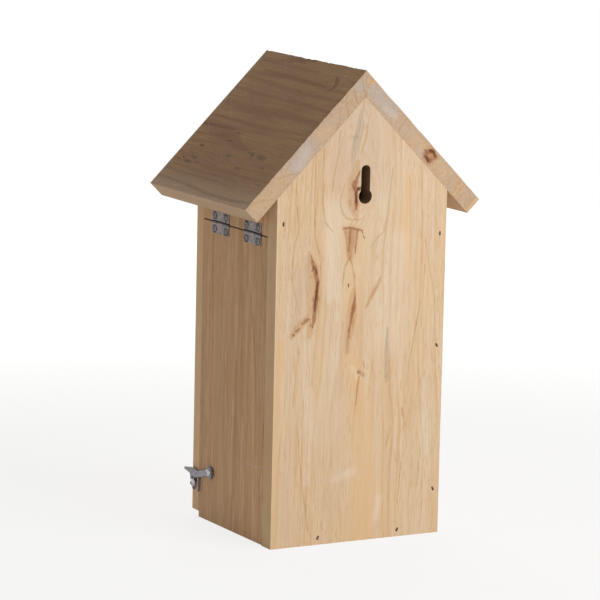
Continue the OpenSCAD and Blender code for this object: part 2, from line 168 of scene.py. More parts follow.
class Tree:
    """A node tree that is filled by short calls, where each input takes a socket or a plain value."""

    def __init__(self, tree):
        self.nodes = tree.nodes
        self.links = tree.links
        self.nodes.clear()

    def put(self, socket, value):
        """Links a socket to the input, or sets the input's own value."""
        if isinstance(value, bpy.types.NodeSocket):
            self.links.new(value, socket)
        elif socket.type == "RGBA" and len(value) == 3:
            socket.default_value = (*value, 1)
        else:
            socket.default_value = value

    def node(self, kind, inputs=(), **options):
        """A node with its options set and its inputs filled."""
        n = self.nodes.new(kind)
        n.location = (190 * (len(self.nodes) % 24), -260 * (len(self.nodes) // 24))
        for option, value in options.items():
            setattr(n, option, value)
        for key, value in dict(inputs).items():
            self.put(n.inputs[key], value)
        return n

    def math(self, operation, *values):
        """The result of one step of arithmetic."""
        return self.node("ShaderNodeMath", enumerate(values), operation=operation).outputs[0]

    def times(self, a, b):
        """The product of two values."""
        return self.math("MULTIPLY", a, b)

    def plus(self, a, b):
        """The sum of two values."""
        return self.math("ADD", a, b)

    def minus(self, a, b):
        """The difference of two values."""
        return self.math("SUBTRACT", a, b)

    def vector(self, operation, *values):
        """The result of one step of vector arithmetic."""
        sockets = (0, 3) if operation == "SCALE" else (0, 1)
        n = self.node("ShaderNodeVectorMath", zip(sockets, values), operation=operation)
        return n.outputs["Value" if operation in ("LENGTH", "DOT_PRODUCT") else "Vector"]

    def rise(self, value, low, high, to_low=0.0, to_high=1.0):
        """A smooth step from to_low to to_high as the value goes from low to high."""
        inputs = {"Value": value, "From Min": low, "From Max": high, "To Min": to_low, "To Max": to_high}
        return self.node("ShaderNodeMapRange", inputs, interpolation_type="SMOOTHSTEP").outputs[0]

    def mix(self, factor, a, b):
        """Two colours mixed."""
        return self.node("ShaderNodeMix", {0: factor, 6: a, 7: b}, data_type="RGBA").outputs[2]

    def noise(self, vector, stretch, seed, detail=2.0, roughness=0.5):
        """Noise on a vector that is scaled first, as (value, colour) sockets."""
        place = self.vector("MULTIPLY", vector, stretch)
        inputs = {"Vector": place, "W": seed, "Scale": 1.0, "Detail": detail, "Roughness": roughness}
        n = self.node("ShaderNodeTexNoise", inputs, noise_dimensions="4D")
        return n.outputs[0], n.outputs[1]

    def group(self, name, inputs):
        """One of the shared effects, with its inputs filled, as its outputs."""
        n = self.node("ShaderNodeGroup", node_tree=bpy.data.node_groups[name])
        for key, value in inputs.items():
            self.put(n.inputs[key], value)
        return n.outputs

    def place(self, vector, location, rotation, scale):
        """The vector seen from a place that is moved, turned and scaled."""
        inputs = {"Vector": vector, "Location": location, "Rotation": rotation, "Scale": scale}
        return self.node("ShaderNodeMapping", inputs, vector_type="TEXTURE").outputs[0]


def new_material(name):
    """A new material and its empty node tree."""
    material = bpy.data.materials.new(name)
    material.use_nodes = True
    return material, Tree(material.node_tree)


def new_object(name, data):
    """A new object in the scene."""
    made = bpy.data.objects.new(name, data)
    bpy.context.scene.collection.objects.link(made)
    return made


def effect(name, inputs, outputs):
    """A new shared effect: its tree, the sockets given to it and the sockets of its results."""
    group = bpy.data.node_groups.new(name, "ShaderNodeTree")
    for label, kind, default in inputs:
        socket = group.interface.new_socket(name=label, in_out="INPUT", socket_type=kind)
        if default is not None:
            socket.default_value = default
    for label, kind in outputs:
        group.interface.new_socket(name=label, in_out="OUTPUT", socket_type=kind)
    t = Tree(group)
    return t, t.node("NodeGroupInput").outputs, t.node("NodeGroupOutput").inputs


def make_growth_rings():
    """Rings about the local z axis, in millimetres, which wander along the trunk."""
    t, given, result = effect("Growth rings", [
        ("Vector", VECTOR, None), ("Ring Width", FLOAT, 4.0), ("Waviness", FLOAT, 14.0),
        ("Taper", FLOAT, 0.02), ("Seed", FLOAT, 0.0),
    ], [("Late Wood", FLOAT), ("Ring Tone", FLOAT)])
    radius = t.vector("LENGTH", t.vector("MULTIPLY", given["Vector"], (1, 1, 0)))
    along = t.node("ShaderNodeSeparateXYZ", {0: given["Vector"]}).outputs[2]
    slow, _ = t.noise(given["Vector"], (0.017, 0.017, 0.0055), given["Seed"], 2.0)
    quick, _ = t.noise(given["Vector"], (0.09, 0.09, 0.016), given["Seed"], 3.0)
    fading, _ = t.noise(given["Vector"], (0.035, 0.035, 0.014), given["Seed"], 1.0)
    wander = t.times(t.minus(slow, 0.5), given["Waviness"])
    ripple = t.times(t.minus(quick, 0.5), 3.4)
    wide = t.plus(radius, wander)
    total = t.plus(wide, t.plus(ripple, t.times(along, given["Taper"])))
    count = t.math("DIVIDE", total, given["Ring Width"])
    ring, phase = t.math("FLOOR", count), t.math("FRACT", count)
    tones = t.node("ShaderNodeTexWhiteNoise", {"W": t.plus(ring, given["Seed"])}, noise_dimensions="1D")
    line = t.times(t.rise(phase, 0.42, 0.9), t.rise(phase, 0.9, 1.0, 1.0, 0.0))
    strength = t.plus(t.math("POWER", tones.outputs[0], 1.9), 0.08)
    faded = t.times(strength, t.rise(fading, 0.38, 0.6, 0.25, 1.0))
    t.put(result["Late Wood"], t.times(line, faded))
    t.put(result["Ring Tone"], t.node("ShaderNodeSeparateColor", {0: tones.outputs[1]}).outputs[1])


def make_fibres():
    """Fine fibres and short resin flecks along the local z axis, in millimetres."""
    t, given, result = effect("Fibres", [("Vector", VECTOR, None), ("Seed", FLOAT, 0.0)],
                              [("Fibre", FLOAT), ("Flecks", FLOAT), ("Zones", FLOAT)])
    fine, _ = t.noise(given["Vector"], (1.3, 1.3, 0.06), given["Seed"], 3.0, 0.65)
    coarse, _ = t.noise(given["Vector"], (0.3, 0.3, 0.016), given["Seed"], 2.0)
    both = t.plus(t.times(fine, 0.62), t.times(coarse, 0.38))
    specks, _ = t.noise(given["Vector"], (1.25, 1.25, 0.15), given["Seed"], 1.5)
    zones, _ = t.noise(given["Vector"], (0.05, 0.05, 0.015), given["Seed"], 1.0)
    t.put(result["Fibre"], t.rise(both, 0.34, 0.66))
    t.put(result["Flecks"], t.rise(specks, 0.52, 0.7))
    t.put(result["Zones"], t.rise(zones, 0.42, 0.62))


def make_wander():
    """A vector in millimetres whose outlines are made irregular, and a calm one that bends only gently."""
    t, given, result = effect("Wander", [("Vector", VECTOR, None), ("Seed", FLOAT, 0.0)],
                              [("Vector", VECTOR), ("Calm", VECTOR)])
    _, broad = t.noise(given["Vector"], (0.12, 0.12, 0.05), given["Seed"], 1.0)
    _, fine = t.noise(given["Vector"], (0.6, 0.6, 0.22), given["Seed"], 2.0)
    middle = (0.5, 0.5, 0.5)
    bend = t.vector("MULTIPLY", t.vector("SUBTRACT", broad, middle), (1.6, 1.6, 3.0))
    calm = t.vector("ADD", given["Vector"], bend)
    push = t.vector("MULTIPLY", t.vector("SUBTRACT", fine, middle), (1.3, 1.3, 3.0))
    t.put(result["Calm"], calm)
    t.put(result["Vector"], t.vector("ADD", calm, push))


def make_stroke():
    """A soft stroke in a plane, from one point to another, with a half width of its own at each end."""
    t, given, result = effect("Stroke", [
        ("Vector", VECTOR, None), ("Start", VECTOR, None), ("Run", VECTOR, None), ("Start Width", FLOAT, 1.0),
        ("End Width", FLOAT, 1.0), ("Softness", FLOAT, 0.5)], [("Mask", FLOAT)])
    away = t.vector("SUBTRACT", given["Vector"], given["Start"])
    length = t.vector("DOT_PRODUCT", given["Run"], given["Run"])
    share = t.math("DIVIDE", t.vector("DOT_PRODUCT", away, given["Run"]), length)
    share = t.math("MAXIMUM", t.math("MINIMUM", share, 1.0), 0.0)
    gap = t.vector("LENGTH", t.vector("SUBTRACT", away, t.vector("SCALE", given["Run"], share)))
    change = t.minus(given["End Width"], given["Start Width"])
    wide = t.plus(given["Start Width"], t.times(change, share))
    inner = t.minus(1.0, given["Softness"])
    t.put(result["Mask"], t.rise(t.math("DIVIDE", gap, wide), inner, 1.0, 1.0, 0.0))


def make_bend():
    """How far the grain is pushed aside round an oval of unit size, which may reach further upwards."""
    t, given, result = effect("Bend", [("Vector", VECTOR, None), ("Above", FLOAT, 1.0)], [("Shift", FLOAT)])
    across, _, along = t.node("ShaderNodeSeparateXYZ", {0: given["Vector"]}).outputs
    upper = t.times(t.math("MAXIMUM", along, 0.0), given["Above"])
    along = t.plus(upper, t.math("MINIMUM", along, 0.0))
    square = t.plus(t.times(across, across), t.times(along, along))
    t.put(result["Shift"], t.math("DIVIDE", across, t.times(t.math("MAXIMUM", square, 1.0), -1.25)))


def make_knot():
    """The heart of a knot of unit size, and the rings in it."""
    t, given, result = effect("Knot", [("Vector", VECTOR, None)], [("Heart", FLOAT), ("Rings", FLOAT)])
    reach = t.vector("LENGTH", t.vector("MULTIPLY", given["Vector"], (1, 0, 1)))
    heart = t.rise(reach, 0.8, 1.04, 1.0, 0.0)
    rings = t.rise(t.math("PINGPONG", t.times(reach, 2.6), 0.5), 0.15, 0.45)
    t.put(result["Heart"], heart)
    t.put(result["Rings"], t.times(heart, rings))


def make_handling():
    """Broad patches, bands along the grain and thin scuffs on a vector in millimetres."""
    t, given, result = effect("Handling", [("Vector", VECTOR, None), ("Seed", FLOAT, 0.0)],
                              [("Patches", FLOAT), ("Bands", FLOAT), ("Scuffs", FLOAT), ("Crumbs", FLOAT)])
    patches, _ = t.noise(given["Vector"], (0.03, 0.03, 0.009), given["Seed"], 2.0)
    bands, _ = t.noise(given["Vector"], (0.11, 0.11, 0.0035), given["Seed"], 2.0)
    turned = t.place(given["Vector"], (0, 0, 0), (0, math.radians(38), 0), (1, 1, 1))
    lines, _ = t.noise(turned, (0.7, 0.7, 0.018), given["Seed"], 2.0)
    zones, _ = t.noise(given["Vector"], (0.05, 0.05, 0.05), given["Seed"], 1.0)
    crumbs, _ = t.noise(given["Vector"], (1.1, 1.1, 1.1), given["Seed"], 4.0, 0.75)
    t.put(result["Patches"], t.rise(patches, 0.36, 0.64))
    t.put(result["Bands"], t.rise(bands, 0.34, 0.66))
    t.put(result["Scuffs"], t.times(t.rise(lines, 0.62, 0.74), t.rise(zones, 0.45, 0.6)))
    t.put(result["Crumbs"], t.rise(crumbs, 0.42, 0.64))


def make_tarnish():
    """Mottling and fine brushing of metal plate on a vector in millimetres."""
    t, given, result = effect("Tarnish", [("Vector", VECTOR, None), ("Seed", FLOAT, 0.0)],
                              [("Mottle", FLOAT), ("Grain", FLOAT)])
    mottle, _ = t.noise(given["Vector"], (0.55, 0.55, 0.55), given["Seed"], 4.0, 0.6)
    grain, _ = t.noise(given["Vector"], (4.0, 0.6, 4.0), given["Seed"], 2.0)
    t.put(result["Mottle"], t.rise(mottle, 0.38, 0.66))
    t.put(result["Grain"], grain)


def make_effects():
    """All shared effects, made once."""
    if "Stroke" not in bpy.data.node_groups:
        for make in (make_growth_rings, make_fibres, make_wander, make_stroke, make_bend, make_knot,
                     make_handling, make_tarnish):
            make()


# Wood

class Board:
    """How a board was sawn: its directions, the middle of the trunk and the marks in it.

    Places in a board are in millimetres, across the grain, into the depth and along the grain. rings is
    the rings' width as a factor, and figure is how strongly the rings and fibres show, as a factor.
    bends are ovals that push the grain aside: (across, along, half width, half length, above), where
    above under 1 lets the oval reach further upwards. knots are (across, along, half width, half length,
    strength). strokes give the paths of each kind of mark, as points of (across, along, half width), and
    go right through the board. ends do so for the cut ends, as points of (across, depth, half width).
    """

    def __init__(self, across, along, pith, seed, origin=(0, 0, 0), taper=0.02, tint=(1, 1, 1), roof=None,
                 scuffs=0.1, rings=1.0, figure=1.0, bends=(), knots=(), strokes=None, ends=None):
        self.origin = Vector(origin)
        x, z = Vector(across), Vector(along)
        self.turn = Matrix((x, z.cross(x), z)).transposed().to_euler()
        self.along = z
        self.pith = pith
        self.seed = seed
        self.taper = taper
        self.tint = tint
        self.roof = roof
        self.scuffs = scuffs
        self.rings = rings
        self.figure = figure
        self.bends = bends or [(*knot[:2], 1.2 * knot[2], 1.2 * knot[3], 1.0) for knot in knots]
        self.knots = knots
        self.strokes = strokes or {}
        self.ends = ends or {}


BACK = Board(
    across=(1, 0, 0), along=(0, 0, 1), pith=(5, 26), seed=3.1, taper=0.03,
    bends=[(5, 221, 13, 20, 0.4), (33, 163, 4.5, 20, 1.0), (7, 166, 5.5, 24, 1.0)],
    strokes={
        # Painted light: a bright warm strip on the back's side edge towards the door
        "honey": [[(62, 240, 2.4), (62, 0, 2.4)]],
        "glow": [
            [(6, 118, 9), (-2, 86, 14), (-5, 40, 17), (-6, -4, 18)], [(57, 132, 5), (60, 60, 6), (58, 0, 6)],
            [(-33, 232, 5), (-31, 200, 8), (-34, 168, 4)], [(-26, 262, 6), (-6, 283, 5)],
            [(-30.7, 209, 3), (-30.4, 198, 4)],
        ],
        "rosy": [
            # The first rosy stroke makes the whole top of the back broadly darker
            [(4, 310, 60), (5, 246, 44)], [(9, 224, 7), (8, 213, 7.5)], [(45, 176, 5), (44, 156, 7), (48, 140, 6)],
            [(41, 184, 3), (39, 164, 5)],
        ],
        "pale": [
            [(-26, 190, 16), (-22, 130, 18)], [(22, 214, 12), (20, 160, 10)],
            [(35, 100, 4), (34, 68, 5), (36, 40, 4)], [(2, 213.5, 2), (5, 210.5, 2)], [(5, 112, 3), (1, 106, 3.5)],
            [(16, 41, 4), (3, 45.5, 5)], [(-17, 26, 5), (-14, 14, 4)],
        ],
        "tan": [[(28.5, 152, 4), (29, 110, 5), (28, 80, 3)], [(7, 196, 16), (8, 150, 14)]],
        "stain": [
            [(0.8, 281, 0.5), (3, 268, 0.7), (5, 257, 0.6)], [(3.2, 276, 0.4), (5.4, 262, 0.7), (7.2, 251, 0.5)],
            [(5.8, 263, 0.4), (7.6, 253, 0.7), (9.4, 243, 0.5)], [(4.6, 256, 0.4), (6.8, 247, 0.7), (8.6, 240, 0.4)],
            [(1, 268, 0.4), (3.2, 256, 0.6), (4.6, 247, 0.4)], [(7.8, 259, 0.4), (9.8, 247, 0.5)],
            [(-19.9, 136, 1.2), (-20, 126, 2.9), (-19.8, 112, 3.4), (-19.8, 102, 2)],
            [(-21.8, 122, 1), (-21.6, 103, 1.4)],
        ],
        "haze": [[(1, 281, 1.4), (4, 265, 3), (6.6, 252, 3.2), (9, 241, 1.4)]],
        "rust": [
            [(-14.4, 169, 1.6), (-8.8, 160, 3), (-3.6, 150, 1.6)],
            [(38, 188, 2), (36, 178, 7), (34, 170, 8), (33.6, 160, 8.4), (34.6, 148, 7), (36.6, 134, 3)],
            [(37, 147, 3.6), (42, 142, 5.4), (49, 135, 3)], [(5.4, 162, 2.4), (6.2, 146, 6.5), (8.8, 122, 2.4)],
            [(-3, 115.5, 1.2), (-4.2, 111.8, 1.4)], [(-3, 272.5, 0.7), (-0.5, 257.5, 1), (2.2, 247.5, 0.7)],
            [(4.6, 243, 2.6), (7.8, 231, 8), (7.4, 220, 8), (5, 208, 3)],
            [(12, 201, 3), (7.4, 197, 9), (8, 184, 4.6)],
        ],
        "line": [
            [(13.6, 229, 0.6), (15.4, 224, 1), (16.3, 219, 1.1), (15.9, 214.4, 1.1), (14.4, 210.4, 1.2),
             (11.8, 207.6, 1.2), (8.4, 206.1, 1.1), (4.6, 205.9, 1), (1, 206.8, 0.8), (-2, 208.8, 0.5)],
            [(6.9, 205.7, 0.8), (8.8, 203, 0.6)], [(-0.9, 206.4, 0.8), (2.2, 203, 0.6)],
            [(3.3, 206, 0.8), (5.8, 203.2, 0.6)],
            [(28.9, 254, 0.6), (29.2, 235, 0.9), (28.5, 215, 1), (27, 206, 1), (20.8, 198.6, 0.7)],
            [(34.5, 249, 0.6), (34.8, 222.5, 0.9), (34.5, 200, 1), (32, 190, 1.1), (29.4, 180, 1.1), (29.2, 172, 0.7)],
            [(48.2, 232, 0.6), (48, 218.8, 0.9), (45.8, 207.5, 1), (46, 200, 1), (48.2, 192.5, 1), (49.5, 178.8, 0.9),
             (49.5, 171, 0.8), (46.4, 158.8, 0.8), (43.2, 148.4, 0.5)],
            [(17.6, 264, 0.6), (18.9, 247.5, 0.9), (22, 231, 1), (22.2, 225, 0.6)],
            [(15, 260, 0.6), (19.6, 243, 0.8)],
            [(-21, 238, 0.6), (-18, 210, 1), (-16, 198.8, 1), (-10.5, 193.8, 0.9), (-6, 188.6, 0.6)],
            [(8.6, 187, 0.7), (8.9, 182.5, 0.9), (12, 176.2, 1), (13.2, 168.8, 0.9), (13.5, 163, 0.6)],
            [(8.9, 182.5, 0.9), (7, 178.8, 1), (5.1, 170, 1), (4.5, 156.2, 0.9)],
            [(-13.9, 167, 0.8), (-8.6, 158.8, 1.4), (-4.1, 151, 0.8)], [(50.6, 137, 0.8), (47.4, 135.4, 0.8)],
            [(0.2, 106, 1.2), (1.2, 97, 1.1), (2.4, 82, 0.6)],
            [(-43.8, 153, 0.6), (-40.5, 135, 1.1), (-38, 121, 0.9), (-34.3, 97, 0.6)],
            [(-33.1, 232, 0.5), (-35.5, 182, 0.6)], [(-46.2, 176, 0.5), (-44.5, 135, 0.6)],
            [(-45.7, 191, 0.6), (-54.3, 151, 0.6)], [(-46.2, 57, 0.6), (-44.4, 32, 0.8)],
            [(-32.4, 48, 0.7), (-30.3, 22, 0.8)], [(-32, 84, 0.6), (-34.6, 72, 0.9)],
            [(-24.5, 72, 0.6), (-21, 60, 1)], [(43.4, 75, 0.5), (40, 44, 0.8), (34.6, 10, 0.6)],
            [(43.9, 129, 0.5), (46.4, 101, 0.7), (46.9, 90, 0.5)], [(24.8, 15, 0.8), (23.8, 9.6, 0.7)],
        ],
        "red": [
            [(6.6, 198, 4.6), (7.2, 192, 3.6), (8, 184, 1.6)], [(13.6, 201, 1.8), (7, 200.6, 2.6), (0.6, 199.8, 1.8)],
            [(12.4, 199, 1.7), (11.4, 193, 1.8), (10.2, 184.6, 1.1)],
            [(4.4, 159, 1.4), (5, 151, 2.8), (6.6, 143, 2.6), (8, 135, 1.7), (9, 124, 0.8)],
            [(0, 108.8, 3.2), (-2.2, 107.4, 2.8)], [(0.1, 106, 1.3), (1.2, 97, 1.2), (1.9, 88, 0.8)],
        ],
        "brown": [
            [(0.4, 108.6, 1.7)],
            [(12.6, 201.2, 0.9), (8, 200.8, 1.3), (3, 200.2, 1.3), (0.6, 199.4, 0.9), (-1.9, 194.2, 0.6)],
            [(8.8, 199.6, 2.4), (9.1, 192, 1.9), (9.3, 186.4, 1.1)],
            [(4, 199.6, 2), (4.5, 193, 1.7), (5.1, 185.2, 0.9)],
            [(2.8, 237, 0.8), (5, 232.4, 2), (6.8, 228.6, 3.6), (5.6, 223, 2.4), (5.2, 217, 2), (5, 213, 1)],
            [(36.6, 185.4, 1.2), (35.5, 181.2, 2.2), (34.3, 176, 3), (32.8, 171, 2.6), (31.6, 167.6, 2.3),
             (32.1, 162, 3), (32.7, 154, 2.6), (33.3, 147, 2.1), (34.4, 140, 1.1)],
            [(37, 145, 1.6), (39.6, 144, 2.9)], [(41.4, 142.4, 1.8)], [(44, 139.4, 1.4), (45.6, 138, 1.6)],
            [(48, 136, 1.5)], [(36, 141.2, 1.4)],
            [(4.6, 157.4, 0.9), (5.1, 151, 1.8), (6.6, 143.6, 1.4), (8, 135, 0.8)],
        ],
        "pitch": [
            [(35.6, 181.6, 0.9)], [(34.8, 178, 0.8), (36, 175, 0.8)], [(34, 177, 0.7), (32.6, 173.4, 0.9)],
            [(31.5, 168.4, 1), (32, 162.4, 1.8), (32.6, 156, 1.2), (33, 150, 0.6)],
            [(9.5, 165.4, 0.8), (9.5, 163.6, 0.7)], [(4.4, 226, 1), (5.3, 222, 1.5), (5, 217, 1.1)],
            [(1.4, 225.6, 2.6), (3.8, 225.4, 2.4)],
        ],
    })
FRONT = Board(
    across=(1, 0, 0), along=(0, 0, 1), pith=(-14, 20), seed=8.6, taper=0.026, tint=(1.12, 1.06, 0.96),
    knots=[(-33, 122, 5, 7.5, 0.8), (22, 238, 3.4, 5, 0.6)],
    strokes={
        # Painted light: a bright warm strip on the front's side edge towards the door
        "honey": [[(62, 214, 5), (62, -4, 6)]],
        "glow": [[(30, 120, 9), (26, 20, 9)]],
        "rust": [[(-34, 138, 1.2), (-33, 122, 5), (-34, 106, 1.4)]],
        "line": [[(24, 90, 0.8), (27, 30, 0.6)], [(-6, 140, 0.5), (-9, 40, 0.8)]],
        "brown": [[(-33, 136, 0.6), (-33.4, 128, 1.1)]],
    })
FIXED_SIDE = Board(
    across=(0, 1, 0), along=(0, 0, 1), pith=(22, -26), seed=14.2, taper=0.03, knots=[(-12, 74, 5.5, 8, 0.75)],
    strokes={
        "glow": [[(20, 200, 7), (16, 60, 7)]],
        "rust": [[(-12, 92, 1.4), (-12, 74, 5), (-13, 58, 1.4)]],
        "line": [[(-30, 190, 0.5), (-26, 120, 0.8)]],
    })
# The door's tint is painted light: it makes the same pine brighter and warmer than the back's, in place of the warm
# light on the door side
DOOR = Board(
    across=(0, 1, 0), along=(0, 0, 1), pith=(96, 30), seed=21.7, taper=0.012, tint=(1.28, 1.12, 1.04), rings=2.1,
    figure=2.2,
    strokes={
        "glow": [
            [(-42, 220, 5), (-41, 0, 6)], [(-24, 190, 4), (-23, 60, 6), (-22, 0, 6)], [(-2, 120, 4), (-8, 20, 6)],
            [(26, 60, 5), (24, 0, 6)], [(52, 210, 3), (52, 120, 2.4)],
        ],
        "pale": [[(44.6, 130, 1.3), (44.8, 2, 1.6)]],
        "tan": [[(-14, 220, 20), (-12, 0, 22)]],
        "shade": [
            [(6, 200, 6), (12, 150, 8), (10, 80, 6)], [(32, 190, 10), (34, 110, 12), (40, 50, 8)],
            [(-31, 190, 3), (-31, 150, 2)],
        ],
        "rust": [[(-42.4, 126, 1), (-42, 60, 1.6), (-42, 30, 1)]],
        "line": [
            [(-45, 200, 0.8), (-44.6, 8, 1)], [(-29.6, 190, 0.9), (-29.4, 20, 1.1)],
            [(-31, 188, 1.2), (-30.6, 164, 1)], [(-9, 142, 0.9), (-8, 92, 1.2), (-6, 70, 0.7)],
            [(4.4, 112, 0.8), (3.6, 92, 1.2), (3, 60, 1.2), (4, 24, 0.7)], [(-1, 76, 1), (-0.6, 66, 0.8)],
            [(16.6, 182, 1), (17.2, 164, 1.3)], [(11, 120, 0.9), (11.6, 74, 0.8)], [(20.4, 120, 1), (20, 50, 0.8)],
            [(21, 158, 1), (25.5, 137, 1.4), (28, 122, 1.4), (29.5, 107, 1.3), (31, 84, 0.8)],
            [(42.4, 92, 0.8), (41.4, 72, 1.3), (40, 52, 1.2), (38, 34, 0.8)],
        ],
        "scuff": [[(20, 48.4, 0.7), (31, 49, 1), (44, 50.2, 0.7)], [(-15.4, 172.3, 0.6), (-13, 172.9, 0.6)]],
    })
FLOOR = Board(
    across=(0, 1, 0), along=(1, 0, 0), pith=(12, -30), seed=30.5, knots=[(14, -22, 4.5, 6, 0.7)],
    strokes={
        "glow": [[(-20, -40, 6), (-16, 30, 6)]],
    })
ROOF_DOOR = Board(
    across=(SLOPE, 0, -SLOPE), along=(0, 1, 0), origin=(0, 0, RIDGE), pith=(-16, 62), seed=41.3, taper=0.022,
    tint=(1, 0.9, 0.78), roof=(SLOPE, 0, SLOPE), scuffs=0.12, rings=1.7, figure=1.9,
    bends=[(13.6, 31, 3, 14, 1.0), (80, 17, 5, 14, 1.0), (92, -56, 4, 8, 1.0)],
    strokes={
        "pale": [[(124, -90, 30), (124, 60, 30)]],
        "band": [
            [(8.6, -72, 1.6), (8.6, -30, 2.4), (8.6, 4, 1.4)],
            [(15, -60, 1.4), (17, -20, 2.6), (18.3, 9, 2.6), (20, 52, 2.2)],
            [(23, -76, 1.8), (24.3, -41, 2.8), (26, -13, 3), (26.7, 16, 2.8), (27, 52, 2)],
            [(33, -76, 1.6), (34, -41, 2.4), (34.6, -8, 2.6), (34.3, 23, 2.4), (36.4, 52, 1.8)],
            [(45.4, -70, 4.5), (47, -27, 6), (45, 9, 5.5), (47, 50, 4.5)],
            [(57, -70, 2), (58.6, 0, 2.6), (56, 50, 2)],
            [(63, -80, 5), (64.5, -68, 8), (68, -40, 9), (75, -14, 5), (78, 4, 2)],
            [(95, -76, 1.2), (96.4, 0, 1.4), (96, 50, 1.2)], [(99.4, -70, 1), (101, 20, 1.2)],
            [(104, -74, 1.2), (104.6, 10, 1.2)],
            [(110.5, -77, 1.8), (111.5, -40, 2), (114.5, 0, 2), (114.5, 30, 1.8), (113, 50, 1.4)],
        ],
        "spot": [
            [(9.4, 29.6, 1.4), (11.6, 31, 3.2), (14, 34.6, 2.4), (19, 34.4, 1.9), (22, 31, 1.1)],
            [(78.4, 3.6, 1.3), (79, 10, 2.7), (82.6, 12, 2.1)], [(79, 17.6, 3.2), (80, 21.6, 5.3), (80.6, 26.4, 3.2)],
            [(90.9, 4, 1.4), (90.9, 9, 1.6)], [(66.4, -28.4, 1.4), (66.4, -24.2, 1.4)],
            [(73.3, -31, 1.3), (73.3, -24.6, 1.3)], [(86.7, 31, 1.3), (86.7, 35, 1.3)],
            [(81.4, -57.6, 1.4), (81.4, -53.4, 1.4)], [(90.8, -57, 1.9), (91.8, -49, 2.4)],
            [(94.8, -60, 2.2), (95.8, -52, 2.1)], [(94.3, -46, 1.3), (94.3, -42, 1.3)],
            [(92.9, -65.6, 1.2), (92.9, -61.6, 1.2)], [(99.3, 42.4, 1.2), (99.3, 46.4, 1.2)],
            [(84.3, -18.4, 1.8), (84, -12, 1.8)], [(11.4, 29.6, 1.3), (12, 32.6, 1.4)],
            [(79.6, 19.6, 1.6), (80.3, 24.4, 1.9)], [(79, 7.4, 1.1), (79.6, 12, 1.2)],
            [(84.2, -16.6, 1), (83.9, -13.8, 1)], [(91.4, -55, 0.9), (91.6, -51, 1.1)],
            [(95.2, -58, 1), (95.5, -54, 0.9)],
        ],
    },
    ends={
        "rosy": [[(54, 6, 7), (32, 6, 8)]],
        "pale": [[(64, 5, 7), (74, 8, 7)]],
        "ash": [[(60, 5, 8), (78, 7, 9)], [(10, 4, 6), (4, 7, 7)]],
        "tan": [[(112, 6, 9), (84, 6, 9)], [(50, 4, 6), (44, 8, 6)]],
        "line": [
            [(5, 0, 0.8), (12, 11.4, 1)], [(13, 0, 0.8), (19, 10.4, 1)], [(21, 0.6, 0.8), (29, 11.4, 1)],
            [(28, 4, 0.6), (40, 12, 0.8)], [(76, 12, 0.6), (89, 3, 0.7)], [(100, 10, 0.6), (110, 2, 0.7)],
        ],
    })
ROOF_FIXED = Board(
    across=(-SLOPE, 0, -SLOPE), along=(0, 1, 0), origin=(0, 0, RIDGE), pith=(52, -40), seed=52.9, taper=0.025,
    tint=(1, 0.9, 0.78), roof=(-SLOPE, 0, SLOPE), scuffs=0.12, rings=1.7, figure=1.9,
    knots=[(38, -22, 5, 8, 0.7), (88, 22, 3.6, 6, 0.6)],
    strokes={
        "pale": [[(124, -90, 30), (124, 60, 30)]],
        "band": [
            [(12, -76, 2), (13.4, 0, 2.6), (12, 52, 2)], [(20, -76, 2), (22.4, -10, 3), (21, 52, 2)],
            [(52, -76, 5), (55, 0, 7), (53, 52, 5)], [(64, -74, 2), (67, 0, 3), (65, 54, 2)],
            [(76, -74, 1.6), (77, 54, 2)], [(100, -76, 2), (99, 50, 2.4)],
        ],
        "brown": [[(38, -38, 0.8), (38, -22, 3.4), (38.5, -8, 0.8)]],
        "scuff": [[(50, 30, 0.7), (56, 35, 1)]],
    },
    ends={
        "glow": [[(119, -2, 3), (119, -10, 3)]],
        "rosy": [[(44, -6, 7), (56, -6, 7)], [(16, -3, 3), (20, -9, 3)]],
        "pale": [[(36, -6, 4), (27, -7, 4)]],
        "ash": [[(68, -9, 5), (64, -11, 5)], [(30, -5, 9), (14, -6, 9)]],
        "tan": [[(105, -1, 4), (105.4, -11, 4)], [(88, -6, 9), (60, -6, 9)]],
        "rust": [[(73, -5.4, 9.5)]],
        "line": [
            [(2, -6, 0.7), (13, -12, 0.9)], [(43.6, -1, 0.7), (44.6, -11, 0.8)], [(105, -1, 0.7), (105.6, -11, 0.8)],
            [(117, -1, 0.7), (117.4, -11, 0.8)],
        ],
        "red": [[(73, -5.4, 8.6)]],
        "brown": [
            [(73, -1.9, 2.4), (76.4, -4, 2.6), (75.4, -8.2, 2.6), (71.4, -9, 2.6), (69.6, -5.2, 2.4), (73, -1.9, 2.4)],
        ],
        "pitch": [[(70.4, -3.6, 1.5), (73, -1.9, 1.7), (75.8, -3.6, 1.5)], [(71, -8.4, 1.4), (74.4, -8.8, 1.8)]],
    })

# Each kind of stroke is (setting of its colour, how much it covers, how ragged the fibres make it, how far it's
# broken up into flecks, whether its path wanders only gently)
STROKE_KINDS = {
    # The first kind is painted light on the side edges that face the door side
    "honey": ("honey", 0.7, 0.0, 0.0, True),
    "glow": ("warm", 0.7, 0.0, 0.0, False),
    "rosy": ("rosy", 0.5, 0.0, 0.0, False),
    "pale": ("scuff", 0.3, 0.0, 0.0, False),
    "ash": ("ash", 0.4, 0.0, 0.0, False),
    "tan": ("warm", 0.32, 0.0, 0.0, False),
    "shade": ("late", 0.32, 0.0, 0.0, False),
    "band": ("roof_late", 0.55, 0.7, 0.3, True),
    "stain": ("stain", 0.7, 1.3, 0.5, True),
    "haze": ("stain", 0.2, 0.6, 0.2, True),
    "rust": ("rust", 0.66, 0.7, 0.35, False),
    "line": ("amber", 0.54, 0.9, 0.4, True),
    "red": ("red", 0.72, 0.8, 0.3, False),
    "brown": ("brown", 0.92, 0.9, 0.25, False),
    "scuff": ("scuff", 0.45, 0.9, 0.5, False),
    "pitch": ("pitch", 0.96, 0.7, 0.15, True),
    "spot": ("spot", 0.85, 1.0, 0.35, False),
}

# Strokes fade out all the way from their middle
STROKE_SOFTNESS = 1.0


